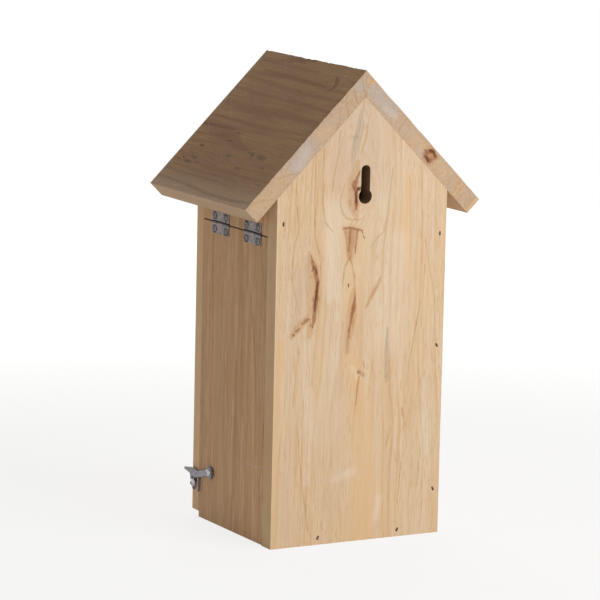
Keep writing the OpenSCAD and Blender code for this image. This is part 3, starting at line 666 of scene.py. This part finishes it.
def stroke_mask(t, vector, paths):
    """Where the strokes along the paths are."""
    mask = None
    for path in paths:
        for (x, z, wide), (next_x, next_z, next_wide) in zip(path, path[1:] or path):
            here = t.group("Stroke", {
                "Vector": vector, "Start": (x, 0, z), "Run": (next_x - x, 0, next_z - z),
                "Start Width": wide, "End Width": next_wide, "Softness": STROKE_SOFTNESS})["Mask"]
            mask = here if mask is None else t.math("MAXIMUM", mask, here)
    return mask


def draw_strokes(t, colour, wandered, calm, strokes, strands, shown):
    """The colour with all strokes drawn over it, where they are shown."""
    for kind, (setting, cover, ragged, broken, gentle) in STROKE_KINDS.items():
        if kind not in strokes:
            continue
        mask = stroke_mask(t, calm if gentle else wandered, strokes[kind])
        if ragged:
            torn = t.times(t.minus(strands["Fibre"], 0.5), ragged)
            mask = t.rise(t.plus(mask, t.times(torn, t.rise(mask, 0.0, 0.3))), 0.03, 0.8)
        if broken:
            mask = t.times(mask, t.rise(strands["Flecks"], 0.0, 0.7, 1.0 - broken, 1.0))
        factor = t.times(t.times(mask, shown), cover)
        colour = t.mix(factor, colour, getattr(settings().wood, setting))
    return colour


def tinted(colour, tint):
    """A colour times a tint."""
    return [min(c * k, 1.0) for c, k in zip(colour, tint)]


# Shares of the layers that are mixed over the plain wood
WARM_PATCHES = 0.26
WARM_BANDS = 0.24
RING_TONES = 0.16
END_RINGS = 0.15
END_CRUMBS = 0.34
# The arrises are lightened, partly as wear and partly as a painted highlight
ARRIS_WEAR_AND_HIGHLIGHT = 0.24
ROOF_ARRIS_WEAR_AND_HIGHLIGHT = 0.08
KNOT_RINGS = 0.5
# The walls of the holes get painted shade
BORED_WALL_SHADE = 0.8

# Tints of the lighter and the darker patches of the roof, and of the knots in it
ROOF_LIGHT = (1.08, 1.07, 1.06)
ROOF_DARK = (0.84, 0.82, 0.82)
ROOF_HEART = (0.55, 0.6, 0.6)


def wood_material(name, board):
    """Sawn pine whose rings run right through the board, with its own knots and marks."""
    look, wood = settings().boards, settings().wood
    make_effects()
    material, t = new_material(name)
    source = t.node("ShaderNodeTexCoord")
    local = t.place(source.outputs["Object"], board.origin, board.turn, (MM, MM, MM))
    paths = t.group("Wander", {"Vector": local, "Seed": board.seed})
    wandered = paths["Vector"]
    flat, calm = (t.vector("MULTIPLY", paths[kind], (1, 0, 1)) for kind in ("Vector", "Calm"))

    # The knots push the grain aside
    shift = 0.0
    for across, along, wide, long, above in board.bends:
        place = t.place(wandered, (across, 0, along), (0, 0, 0), (wide, 1000, long))
        bend = t.group("Bend", {"Vector": place, "Above": above})["Shift"]
        shift = t.plus(shift, t.times(bend, wide))
    pushed = t.vector("ADD", local, t.node("ShaderNodeCombineXYZ", {0: shift}).outputs[0])
    grown = t.group("Growth rings", {
        "Vector": t.vector("SUBTRACT", pushed, (*board.pith, 0)), "Ring Width": board.rings * look.ring_width / MM,
        "Waviness": look.waviness / MM, "Taper": board.taper, "Seed": board.seed})
    strands = t.group("Fibres", {"Vector": pushed, "Seed": board.seed})
    worn = t.group("Handling", {"Vector": local, "Seed": board.seed})

    # Cross-cut ends show the rings more sharply, with torn fibres and specks of resin
    facing = t.math("ABSOLUTE", t.vector("DOT_PRODUCT", source.outputs["Normal"], board.along))
    end = t.rise(facing, 0.75, 0.95)
    lengthwise = t.minus(1.0, end)
    patches, bands = t.times(worn["Patches"], WARM_PATCHES), t.times(worn["Bands"], WARM_BANDS)
    warmth = t.plus(patches, bands)
    colour = t.mix(warmth, tinted(wood.early, board.tint), tinted(wood.warm, board.tint))
    late, fleck = wood.late, wood.rust
    if board.roof:
        outer = t.rise(t.vector("DOT_PRODUCT", source.outputs["Normal"], board.roof), 0.8, 0.95)
        mottled = t.mix(worn["Patches"], tinted(wood.roof, ROOF_LIGHT), tinted(wood.roof, ROOF_DARK))
        colour = t.mix(outer, colour, mottled)
        late = t.mix(outer, late, wood.roof_late)
        fleck = t.mix(outer, fleck, wood.roof_late)
    colour = t.mix(end, colour, wood.end_grain)
    colour = t.mix(t.times(grown["Ring Tone"], RING_TONES), colour, late)
    depth = t.plus(t.times(end, END_RINGS), min(look.late_wood * board.figure, 1.0))
    colour = t.mix(t.times(grown["Late Wood"], depth), colour, late)
    shade = t.times(t.minus(1.0, strands["Fibre"]), look.fibre * board.figure)
    colour = t.mix(shade, colour, fleck)
    dense = t.times(t.rise(strands["Zones"], 0.0, 1.0, 0.3, 1.0), look.flecks)
    colour = t.mix(t.times(strands["Flecks"], dense), colour, fleck)
    colour = t.mix(t.times(t.times(worn["Crumbs"], end), END_CRUMBS), colour, wood.scuff)
    # Wear and a painted highlight along the eased arrises
    edge = t.node("ShaderNodeAttribute", attribute_name="arris").outputs["Fac"]
    colour = t.mix(t.times(edge, ROOF_ARRIS_WEAR_AND_HIGHLIGHT if board.roof else ARRIS_WEAR_AND_HIGHLIGHT), colour, wood.scuff)
    colour = draw_strokes(t, colour, flat, calm, board.strokes, strands, lengthwise)
    if board.ends:
        swapped = t.node("ShaderNodeSeparateXYZ", {0: wandered}).outputs
        cut = t.node("ShaderNodeCombineXYZ", {0: swapped[0], 2: swapped[1]}).outputs[0]
        colour = draw_strokes(t, colour, cut, cut, board.ends, strands, end)
    for across, along, wide, long, strength in board.knots:
        knot = t.group("Knot", {"Vector": t.place(wandered, (across, 0, along), (0, 0, 0), (wide, 1000, long))})
        heart = tinted(wood.red, ROOF_HEART) if board.roof else t.mix(0.5, wood.red, wood.warm)
        colour = t.mix(t.times(knot["Heart"], strength), colour, heart)
        colour = t.mix(t.times(knot["Rings"], KNOT_RINGS * strength), colour, wood.brown)
    colour = t.mix(t.times(worn["Scuffs"], board.scuffs), colour, wood.scuff)
    # Painted shade on the walls of the keyhole and the entrance
    bored = t.node("ShaderNodeAttribute", attribute_name="bored").outputs["Fac"]
    colour = t.mix(t.times(bored, BORED_WALL_SHADE), colour, wood.bored)

    ridges = t.minus(t.times(grown["Late Wood"], 0.6), t.times(strands["Flecks"], 0.3))
    torn = t.times(t.times(worn["Crumbs"], end), 1.6)
    height = t.plus(t.plus(strands["Fibre"], ridges), torn)
    bump = t.node("ShaderNodeBump", {"Strength": 0.6, "Distance": look.relief, "Height": height})
    rough = t.plus(0.68, t.times(strands["Fibre"], 0.14))
    shader = t.node("ShaderNodeBsdfPrincipled", {
        "Base Color": colour, "Roughness": rough, "Normal": bump.outputs[0], "Specular IOR Level": 0.25})
    t.node("ShaderNodeOutputMaterial", {"Surface": shader.outputs[0]})
    return material


# Metal

# Painted shade in the countersinks round the screws and in the gap along the seam between the leaves, as (half width
# in millimetres, softness)
SCREW_PAINTED_SHADE = (3.4, 0.42)
SEAM_PAINTED_SHADE = (0.95, 0.6)
PAINTED_SHADE_SHARE = 0.95
PAINTED_SHADE_DARKNESS = 0.2


def metal_material(name, colour, dark, roughness, cover=0.7, seed=0.0, screws=(), seam=None):
    """Plated metal with mottled tarnish, and with painted shade round screws and along a seam, both placed in Y and Z.
    """
    make_effects()
    material, t = new_material(name)
    source = t.node("ShaderNodeTexCoord").outputs["Object"]
    local = t.place(source, (0, 0, 0), (0, 0, 0), (MM, MM, MM))
    tarnish = t.group("Tarnish", {"Vector": local, "Seed": seed})
    shown = t.mix(t.times(tarnish["Mottle"], cover), colour, dark)
    marks = [(across, along, 0, *SCREW_PAINTED_SHADE) for across, along in screws]
    if seam:
        low, high, level = seam
        marks.append((low, level, high - low, *SEAM_PAINTED_SHADE))
    # Each mark paints shade: a dark ring round a screw, or a dark band along the seam between the leaves
    for across, along, run, wide, softness in marks:
        side = t.vector("MULTIPLY", local, (0, 1, 1))
        painted_shade = t.group("Stroke", {"Vector": side, "Start": (0, across, along), "Run": (0, run, 0),
                                   "Start Width": wide, "End Width": wide, "Softness": softness})["Mask"]
        shown = t.mix(t.times(painted_shade, PAINTED_SHADE_SHARE), shown, [c * PAINTED_SHADE_DARKNESS for c in dark])
    rough = t.plus(roughness, t.times(tarnish["Mottle"], 0.18))
    height = t.plus(tarnish["Grain"], tarnish["Mottle"])
    bump = t.node("ShaderNodeBump", {"Strength": 0.25, "Distance": 0.03 * MM, "Height": height})
    shader = t.node("ShaderNodeBsdfPrincipled", {
        "Base Color": shown, "Metallic": 1.0, "Roughness": rough, "Normal": bump.outputs[0]})
    t.node("ShaderNodeOutputMaterial", {"Surface": shader.outputs[0]})
    return material


# Pieces

# Distance at which points are joined, and the angle up to which faces count as one flat face
WELD = 2e-6
FLAT_ANGLE = math.radians(0.4)

# Edges sharper than these angles are eased, or stay creased in the shading of wood and of metal
CORNER_ANGLE = math.radians(30)
WOOD_CREASE = math.radians(18)
METAL_CREASE = math.radians(30)

# Shortest edge that is eased on a board, on a torn board and on metal, and a length that no edge has
BOARD_EDGE = 4 * MM
TORN_EDGE = 1 * MM
METAL_EDGE = 0.9 * MM
NO_EDGE = 1.0

# Torn roof boards: share of the arris that is left, length of the runs and of the edges that are torn
TORN_ARRIS = 0.5
TORN_RUN = 3.2 * MM
LONG_EDGE = 60 * MM

# How far the filler stands over the nail heads
FILLER_RISE = 0.27 * MM


def merged(node):
    """A node's solid as one mesh, with its flat faces joined."""
    bm = bmesh.new()
    bm.from_mesh(frame["nodes"][node].data)
    bmesh.ops.remove_doubles(bm, verts=bm.verts, dist=WELD)
    bmesh.ops.dissolve_limit(bm, angle_limit=FLAT_ANGLE, verts=bm.verts, edges=bm.edges)
    for layer in ("arris", "bored"):
        bm.faces.layers.float.new(layer)
    return bm


def ease(bm, edges, width, worn=1.0):
    """Rounds the edges and marks the new faces as arrises, as worn as given: the wood lightens them as wear and a
    painted highlight.
    """
    made = bmesh.ops.bevel(bm, geom=edges, offset=width, offset_type="OFFSET", segments=2, profile=0.5,
                           affect="EDGES", clamp_overlap=True, material=-1)
    layer = bm.faces.layers.float["arris"]
    for face in made["faces"]:
        face[layer] = worn


def corners(bm, shortest, within=None):
    """The edges of a solid's outward corners that are at least so long, or lie within a box."""
    found = []
    for edge in bm.edges:
        if not edge.is_manifold or edge.calc_face_angle_signed() < CORNER_ANGLE:
            continue
        middle = (edge.verts[0].co + edge.verts[1].co) / 2
        inside = within and all(lo <= c <= hi for lo, c, hi in zip(within[0], middle, within[1]))
        if edge.calc_length() >= shortest or inside:
            found.append(edge)
    return found


def finish_piece(bm, name, body, material, nodes=(), crease=WOOD_CREASE):
    """Turns a bmesh into a piece that rides on a body and stands for the nodes."""
    for face in bm.faces:
        face.smooth = True
    for edge in bm.edges:
        edge.smooth = not edge.is_manifold or edge.calc_face_angle() < crease
    mesh = bpy.data.meshes.new(name)
    bm.to_mesh(mesh)
    bm.free()
    if "custom_normal" in mesh.attributes:
        mesh.attributes.remove(mesh.attributes["custom_normal"])
    mesh.materials.clear()
    mesh.materials.append(material)
    piece = new_object(name, mesh)
    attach(piece, body)
    if nodes:
        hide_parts(*nodes)
    return piece


def dress(node, material):
    """Gives a node that keeps its own shape a material."""
    mesh = frame["nodes"][node].data
    mesh.materials.clear()
    mesh.materials.append(material)


def sawn_board(node, name, material, hole=None, torn=False):
    """A board with eased arrises, a rounded hole where one is given, and torn upper edges if it's in the roof."""
    look = settings().boards
    bm = merged(node)
    if torn:
        tear(bm, look.ragged, seed=len(name))
    ease(bm, corners(bm, TORN_EDGE if torn else BOARD_EDGE), look.arris * (TORN_ARRIS if torn else 1))
    if hole:
        # The hole's walls are marked for their painted shade
        layer = bm.faces.layers.float["bored"]
        for face in bm.faces:
            middle = face.calc_center_median()
            inside = all(lo <= c <= hi for lo, c, hi in zip(hole[0], middle, hole[1]))
            face[layer] = float(inside and abs(face.normal.y) < 0.5)
        ease(bm, corners(bm, NO_EDGE, within=hole), look.hole_edge, worn=0.0)
    return finish_piece(bm, name, BODY_OF[node], material, nodes=[node])


def tear(bm, depth, seed):
    """Splits a roof board's upper edges into short runs and sets their corners down by small random steps."""
    dice = random.Random(seed)
    upper = [e for e in corners(bm, LONG_EDGE) if is_upper(e)]
    for edge in upper:
        cuts = int(edge.calc_length() / TORN_RUN)
        made = bmesh.ops.subdivide_edges(bm, edges=[edge], cuts=cuts)
        for vert in (v for v in made["geom_inner"] if isinstance(v, bmesh.types.BMVert)):
            vert.co.z -= depth * dice.random() ** 2


def fill_nail_holes(board, name, material):
    """Wood filler over the nail heads in one roof board, almost level with its outer face."""
    out = Vector(board.roof)
    bm = bmesh.new()
    bm.from_mesh(frame["nodes"]["roof_brads"].data)
    bmesh.ops.remove_doubles(bm, verts=bm.verts, dist=WELD)
    heads = [f for f in bm.faces if f.normal.dot(out) > 0.999 and abs(face_height(f, out)) < 0.5 * MM]
    bmesh.ops.delete(bm, geom=[f for f in bm.faces if f not in heads], context="FACES")
    raised = bmesh.ops.extrude_face_region(bm, geom=bm.faces[:])["geom"]
    for vert in (v for v in raised if isinstance(v, bmesh.types.BMVert)):
        vert.co += out * FILLER_RISE
    bmesh.ops.recalc_face_normals(bm, faces=bm.faces)
    for layer in ("arris", "bored"):
        bm.faces.layers.float.new(layer)
    return finish_piece(bm, name, "box", material)


def face_height(face, out):
    """How high a face lies above the plane of the roof's outer face."""
    return (face.calc_center_median() - Vector((0, 0, RIDGE))).dot(out)


def is_upper(edge):
    """Whether an edge is the ridge or the rear edge of a roof board's outer face."""
    a, b = (v.co for v in edge.verts)
    ridge = min(a.z, b.z) > RIDGE - 1 * MM
    outer = all(abs(abs(p.x) + p.z - RIDGE) < 0.2 * MM for p in (a, b))
    return ridge or (outer and min(a.y, b.y) > 0.05)


def metal_piece(node, name, material, edge_width=0):
    """A stamped or turned metal part with slightly rounded edges."""
    bm = merged(node)
    if edge_width:
        ease(bm, corners(bm, METAL_EDGE), edge_width)
    return finish_piece(bm, name, BODY_OF[node], material, nodes=[node], crease=METAL_CREASE)


def head_places(node):
    """The places in Y and Z, in millimetres, of the screws in a node, which all lie along X."""
    bm = merged(node)
    loose, places = set(bm.verts), []
    while loose:
        island, edge = set(), {loose.pop()}
        while edge:
            vert = edge.pop()
            island.add(vert)
            edge |= {e.other_vert(vert) for e in vert.link_edges} - island
        loose -= island
        span = [[v.co[i] / MM for v in island] for i in (1, 2)]
        places.append(tuple((min(values) + max(values)) / 2 for values in span))
    bm.free()
    return places


def outer_face(node):
    """The lowest and the highest place in Y and Z, in millimetres, of a node's largest face towards +X."""
    bm = merged(node)
    face = max(bm.faces, key=lambda f: f.normal.x * f.calc_area())
    places = [[v.co[i] / MM for v in face.verts] for i in (1, 2)]
    bm.free()
    return [min(values) for values in places], [max(values) for values in places]


def around(node, low, high):
    """A box in a node's own bounds, given by its corners in millimetres in the model's frame."""
    lo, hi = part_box(node)
    return [max(a * MM, b - 1) for a, b in zip(low, lo)], [min(a * MM, b + 1) for a, b in zip(high, hi)]


# Boxes in millimetres round the keyhole and the entrance, and rounding of the metal parts' edges
KEYHOLE_BOX = (-7, 40, 215), (5, 56, 242)
ENTRANCE_BOX = (-17, -56, 149), (17, -43, 183)
LEAF_EDGE = 0.12 * MM
HOOK_EDGE = 0.15 * MM


# Operators

class NESTBOX_OT_back_panel(bpy.types.Operator):
    """Make the back panel with its keyhole and the big knot beside it"""

    bl_idname = "nestbox.back_panel"
    bl_label = "Back Panel"

    def execute(self, context):
        hole = around("back_panel", *KEYHOLE_BOX)
        sawn_board("back_panel", "back_board", wood_material("Back pine", BACK), hole=hole)
        return {"FINISHED"}


class NESTBOX_OT_front_panel(bpy.types.Operator):
    """Make the front panel with its round entrance"""

    bl_idname = "nestbox.front_panel"
    bl_label = "Front Panel"

    def execute(self, context):
        hole = around("front_panel", *ENTRANCE_BOX)
        sawn_board("front_panel", "front_board", wood_material("Front pine", FRONT), hole=hole)
        return {"FINISHED"}


class NESTBOX_OT_sides(bpy.types.Operator):
    """Make the fixed side, and the door and its header, which are sawn from one board"""

    bl_idname = "nestbox.sides"
    bl_label = "Sides and Door"

    def execute(self, context):
        sawn_board("fixed_side_panel", "fixed_side_board", wood_material("Fixed side pine", FIXED_SIDE))
        door = wood_material("Door pine", DOOR)
        sawn_board("door_header", "door_header_board", door)
        sawn_board("door_panel", "door_board", door)
        return {"FINISHED"}


class NESTBOX_OT_floor_panel(bpy.types.Operator):
    """Make the floor with its drain holes"""

    bl_idname = "nestbox.floor_panel"
    bl_label = "Floor"

    def execute(self, context):
        sawn_board("floor_panel", "floor_board", wood_material("Floor pine", FLOOR))
        return {"FINISHED"}


class NESTBOX_OT_roof(bpy.types.Operator):
    """Make the two roof boards and the filler over their nails"""

    bl_idname = "nestbox.roof"
    bl_label = "Roof"

    def execute(self, context):
        for node, name, board in (("roof_board_door_side", "roof_board_over_door", ROOF_DOOR),
                                  ("roof_board_fixed_side", "roof_board_over_fixed_side", ROOF_FIXED)):
            material = wood_material(name.replace("_", " ").capitalize(), board)
            sawn_board(node, name, material, torn=True)
            fill_nail_holes(board, name + "_nail_filler", material)
        return {"FINISHED"}


class NESTBOX_OT_hinges(bpy.types.Operator):
    """Make the leaves, pins and screws of both hinges"""

    bl_idname = "nestbox.hinges"
    bl_label = "Hinges"

    def execute(self, context):
        metal = settings().metal
        screws = head_places("hinge_header_screws") + head_places("hinge_door_screws")
        above, below = outer_face("front_hinge_upper_leaf"), outer_face("front_hinge_lower_leaf")
        far = outer_face("rear_hinge_upper_leaf")
        seam = (min(above[0][0], far[0][0]), max(above[1][0], far[1][0]), (above[0][1] + below[1][1]) / 2)
        # The zinc gets painted shade round these screws and along the seam between the upper and lower leaves
        zinc = metal_material("Dull zinc", metal.zinc, metal.zinc_dark, 0.42, seed=2.0, screws=screws, seam=seam)
        bright = metal_material("Hinge screws", metal.leaf_screw, metal.zinc_dark, 0.36, seed=5.0)
        for hinge in ("front", "rear"):
            for half in ("upper", "lower"):
                node = f"{hinge}_hinge_{half}_leaf"
                metal_piece(node, f"{hinge}_hinge_{half}_plate", zinc, LEAF_EDGE)
            dress(f"{hinge}_hinge_pin", bright)
        metal_piece("hinge_header_screws", "hinge_screws_in_header", bright)
        metal_piece("hinge_door_screws", "hinge_screws_in_door", bright)
        return {"FINISHED"}


class NESTBOX_OT_latch(bpy.types.Operator):
    """Make the swing hook and its two round-head screws"""

    bl_idname = "nestbox.latch"
    bl_label = "Latch"

    def execute(self, context):
        metal = settings().metal
        plate = metal_material("Hook plate", metal.hook, metal.zinc_dark, 0.36, seed=9.0)
        bright = metal_material("Round-head screws", metal.screw, metal.zinc_dark, 0.24, cover=0.4, seed=11.0)
        metal_piece("latch_hook", "latch_hook_plate", plate, HOOK_EDGE)
        metal_piece("latch_pivot_screw", "latch_pivot_round_head", bright)
        metal_piece("latch_catch_screw", "latch_catch_round_head", bright)
        return {"FINISHED"}


class NESTBOX_OT_nails(bpy.types.Operator):
    """Give the nails their dark, sunk heads"""

    bl_idname = "nestbox.nails"
    bl_label = "Nails"

    def execute(self, context):
        metal = settings().metal
        dark = metal_material("Nails", metal.nail, metal.nail_dark, 0.55, seed=13.0)
        for node in ("back_panel_brads", "front_panel_brads", "roof_brads"):
            dress(node, dark)
        return {"FINISHED"}


class NESTBOX_OT_stage(bpy.types.Operator):
    """Make the floor, the lamps, the surroundings and the camera"""

    bl_idname = "nestbox.stage"
    bl_label = "Stage"

    def execute(self, context):
        stage = settings().stage
        make_ground(stage.floor)
        make_surroundings(stage.sky)
        middle = Vector((0, 0, 0.15))
        make_lamp("Key lamp", middle, (-0.42, 0.82, 0.36), 1.3, 0.9, stage.key)
        make_lamp("Fill lamp", middle, (-0.36, -0.88, 0.34), 1.3, 1.2, stage.fill)
        make_camera()
        context.scene.view_settings.view_transform = "Standard"
        return {"FINISHED"}


# Colours of the floor, of the light near the horizon and of the light from above
PAPER = (0.82, 0.80, 0.78)
SKY_LOW = (1.0, 0.93, 0.89)
SKY_HIGH = (0.62, 0.57, 0.55)

# Share of the floor that shows as plain white
FLOOR_GLOW = 0.82

# The camera's place and its directions to the right and upwards in metres, and its lens in millimetres
CAMERA_PLACE = (1.10061, 1.96165, 0.52646)
CAMERA_RIGHT = Vector((-0.876304, 0.481259, 0.021936))
CAMERA_UP = Vector((-0.061288, -0.156530, 0.985770))
CAMERA_LENS = 213.407


def seen_ray(t):
    """1 for rays that show the surroundings: straight to the camera, mirrored or through glass."""
    path = t.node("ShaderNodeLightPath").outputs
    mirrored = t.math("MAXIMUM", path["Is Glossy Ray"], path["Is Transmission Ray"])
    return t.math("MAXIMUM", path["Is Camera Ray"], mirrored)


def make_ground(size):
    """A pale floor that shows as white and keeps a light shadow."""
    bm = bmesh.new()
    bmesh.ops.create_grid(bm, x_segments=1, y_segments=1, size=size / 2)
    mesh = bpy.data.meshes.new("ground")
    bm.to_mesh(mesh)
    bm.free()
    ground = new_object("ground", mesh)
    material, t = new_material("White ground")
    paper = t.node("ShaderNodeBsdfDiffuse", {"Color": PAPER})
    reach = t.vector("LENGTH", t.node("ShaderNodeTexCoord").outputs["Object"])
    glow = t.node("ShaderNodeEmission", {"Color": (1, 1, 1), "Strength": t.rise(reach, 0.3, 0.95, 1.0, 1.18)})
    share = t.times(seen_ray(t), FLOOR_GLOW)
    both = t.node("ShaderNodeMixShader", {0: share, 1: paper.outputs[0], 2: glow.outputs[0]})
    t.node("ShaderNodeOutputMaterial", {"Surface": both.outputs[0]})
    mesh.materials.append(material)


def make_surroundings(strength):
    """Soft warm light from all round, which shows as plain white."""
    world = bpy.data.worlds.new("Surroundings")
    bpy.context.scene.world = world
    world.use_nodes = True
    t = Tree(world.node_tree)
    up = t.node("ShaderNodeSeparateXYZ", {0: t.node("ShaderNodeTexCoord").outputs["Generated"]}).outputs[2]
    dome = t.mix(t.rise(up, 0.0, 0.9), SKY_LOW, SKY_HIGH)
    light = t.node("ShaderNodeBackground", {"Color": dome, "Strength": strength})
    white = t.node("ShaderNodeBackground", {"Color": (1, 1, 1), "Strength": 1.0})
    both = t.node("ShaderNodeMixShader", {0: seen_ray(t), 1: light.outputs[0], 2: white.outputs[0]})
    t.node("ShaderNodeOutputWorld", {"Surface": both.outputs[0]})


def make_lamp(name, target, direction, distance, size, power):
    """A square soft lamp at a distance from the target in the given direction."""
    lamp = bpy.data.lights.new(name, "AREA")
    lamp.shape = "SQUARE"
    lamp.size = size
    lamp.energy = power
    holder = new_object(name, lamp)
    away = Vector(direction).normalized()
    holder.location = target + away * distance
    holder.visible_camera = False
    holder.rotation_euler = away.to_track_quat("Z", "Y").to_euler()


def make_camera():
    """The camera at the photograph's angle: a long lens from the back, a little above the floor."""
    data = bpy.data.cameras.new("Camera")
    data.sensor_width = 36
    data.lens = CAMERA_LENS
    data.clip_end = 100
    camera = new_object("Camera", data)
    turn = Matrix((CAMERA_RIGHT, CAMERA_UP, CAMERA_RIGHT.cross(CAMERA_UP))).transposed()
    camera.matrix_world = Matrix.Translation(CAMERA_PLACE) @ turn.to_4x4()
    bpy.context.scene.camera = camera


class NESTBOX_PT_panel(bpy.types.Panel):
    """Lists the pieces and the settings of the nest box"""

    bl_label = "Nest Box"
    bl_idname = "NESTBOX_PT_panel"
    bl_space_type = "VIEW_3D"
    bl_region_type = "UI"
    bl_category = "Nest Box"

    def draw(self, context):
        for operator in OPERATORS:
            self.layout.operator(operator.bl_idname)
        for group in ("boards", "wood", "metal", "stage"):
            box = self.layout.box()
            chosen = getattr(context.scene.nest_box, group)
            for name in chosen.__annotations__:
                box.prop(chosen, name)


OPERATORS = (
    NESTBOX_OT_back_panel, NESTBOX_OT_front_panel, NESTBOX_OT_sides, NESTBOX_OT_floor_panel, NESTBOX_OT_roof,
    NESTBOX_OT_hinges, NESTBOX_OT_latch, NESTBOX_OT_nails, NESTBOX_OT_stage,
)
CLASSES = (BoardSettings, WoodColours, MetalColours, StageSettings, NestBoxSettings, *OPERATORS, NESTBOX_PT_panel)


def register():
    for item in CLASSES:
        bpy.utils.register_class(item)
    bpy.types.Scene.nest_box = PointerProperty(type=NestBoxSettings)


def unregister():
    del bpy.types.Scene.nest_box
    for item in reversed(CLASSES):
        bpy.utils.unregister_class(item)


def main():
    register()
    bpy.ops.nestbox.back_panel()
    bpy.ops.nestbox.front_panel()
    bpy.ops.nestbox.sides()
    bpy.ops.nestbox.floor_panel()
    bpy.ops.nestbox.roof()
    bpy.ops.nestbox.hinges()
    bpy.ops.nestbox.latch()
    bpy.ops.nestbox.nails()
    bpy.ops.nestbox.stage()


if __name__ == "__main__":
    main()
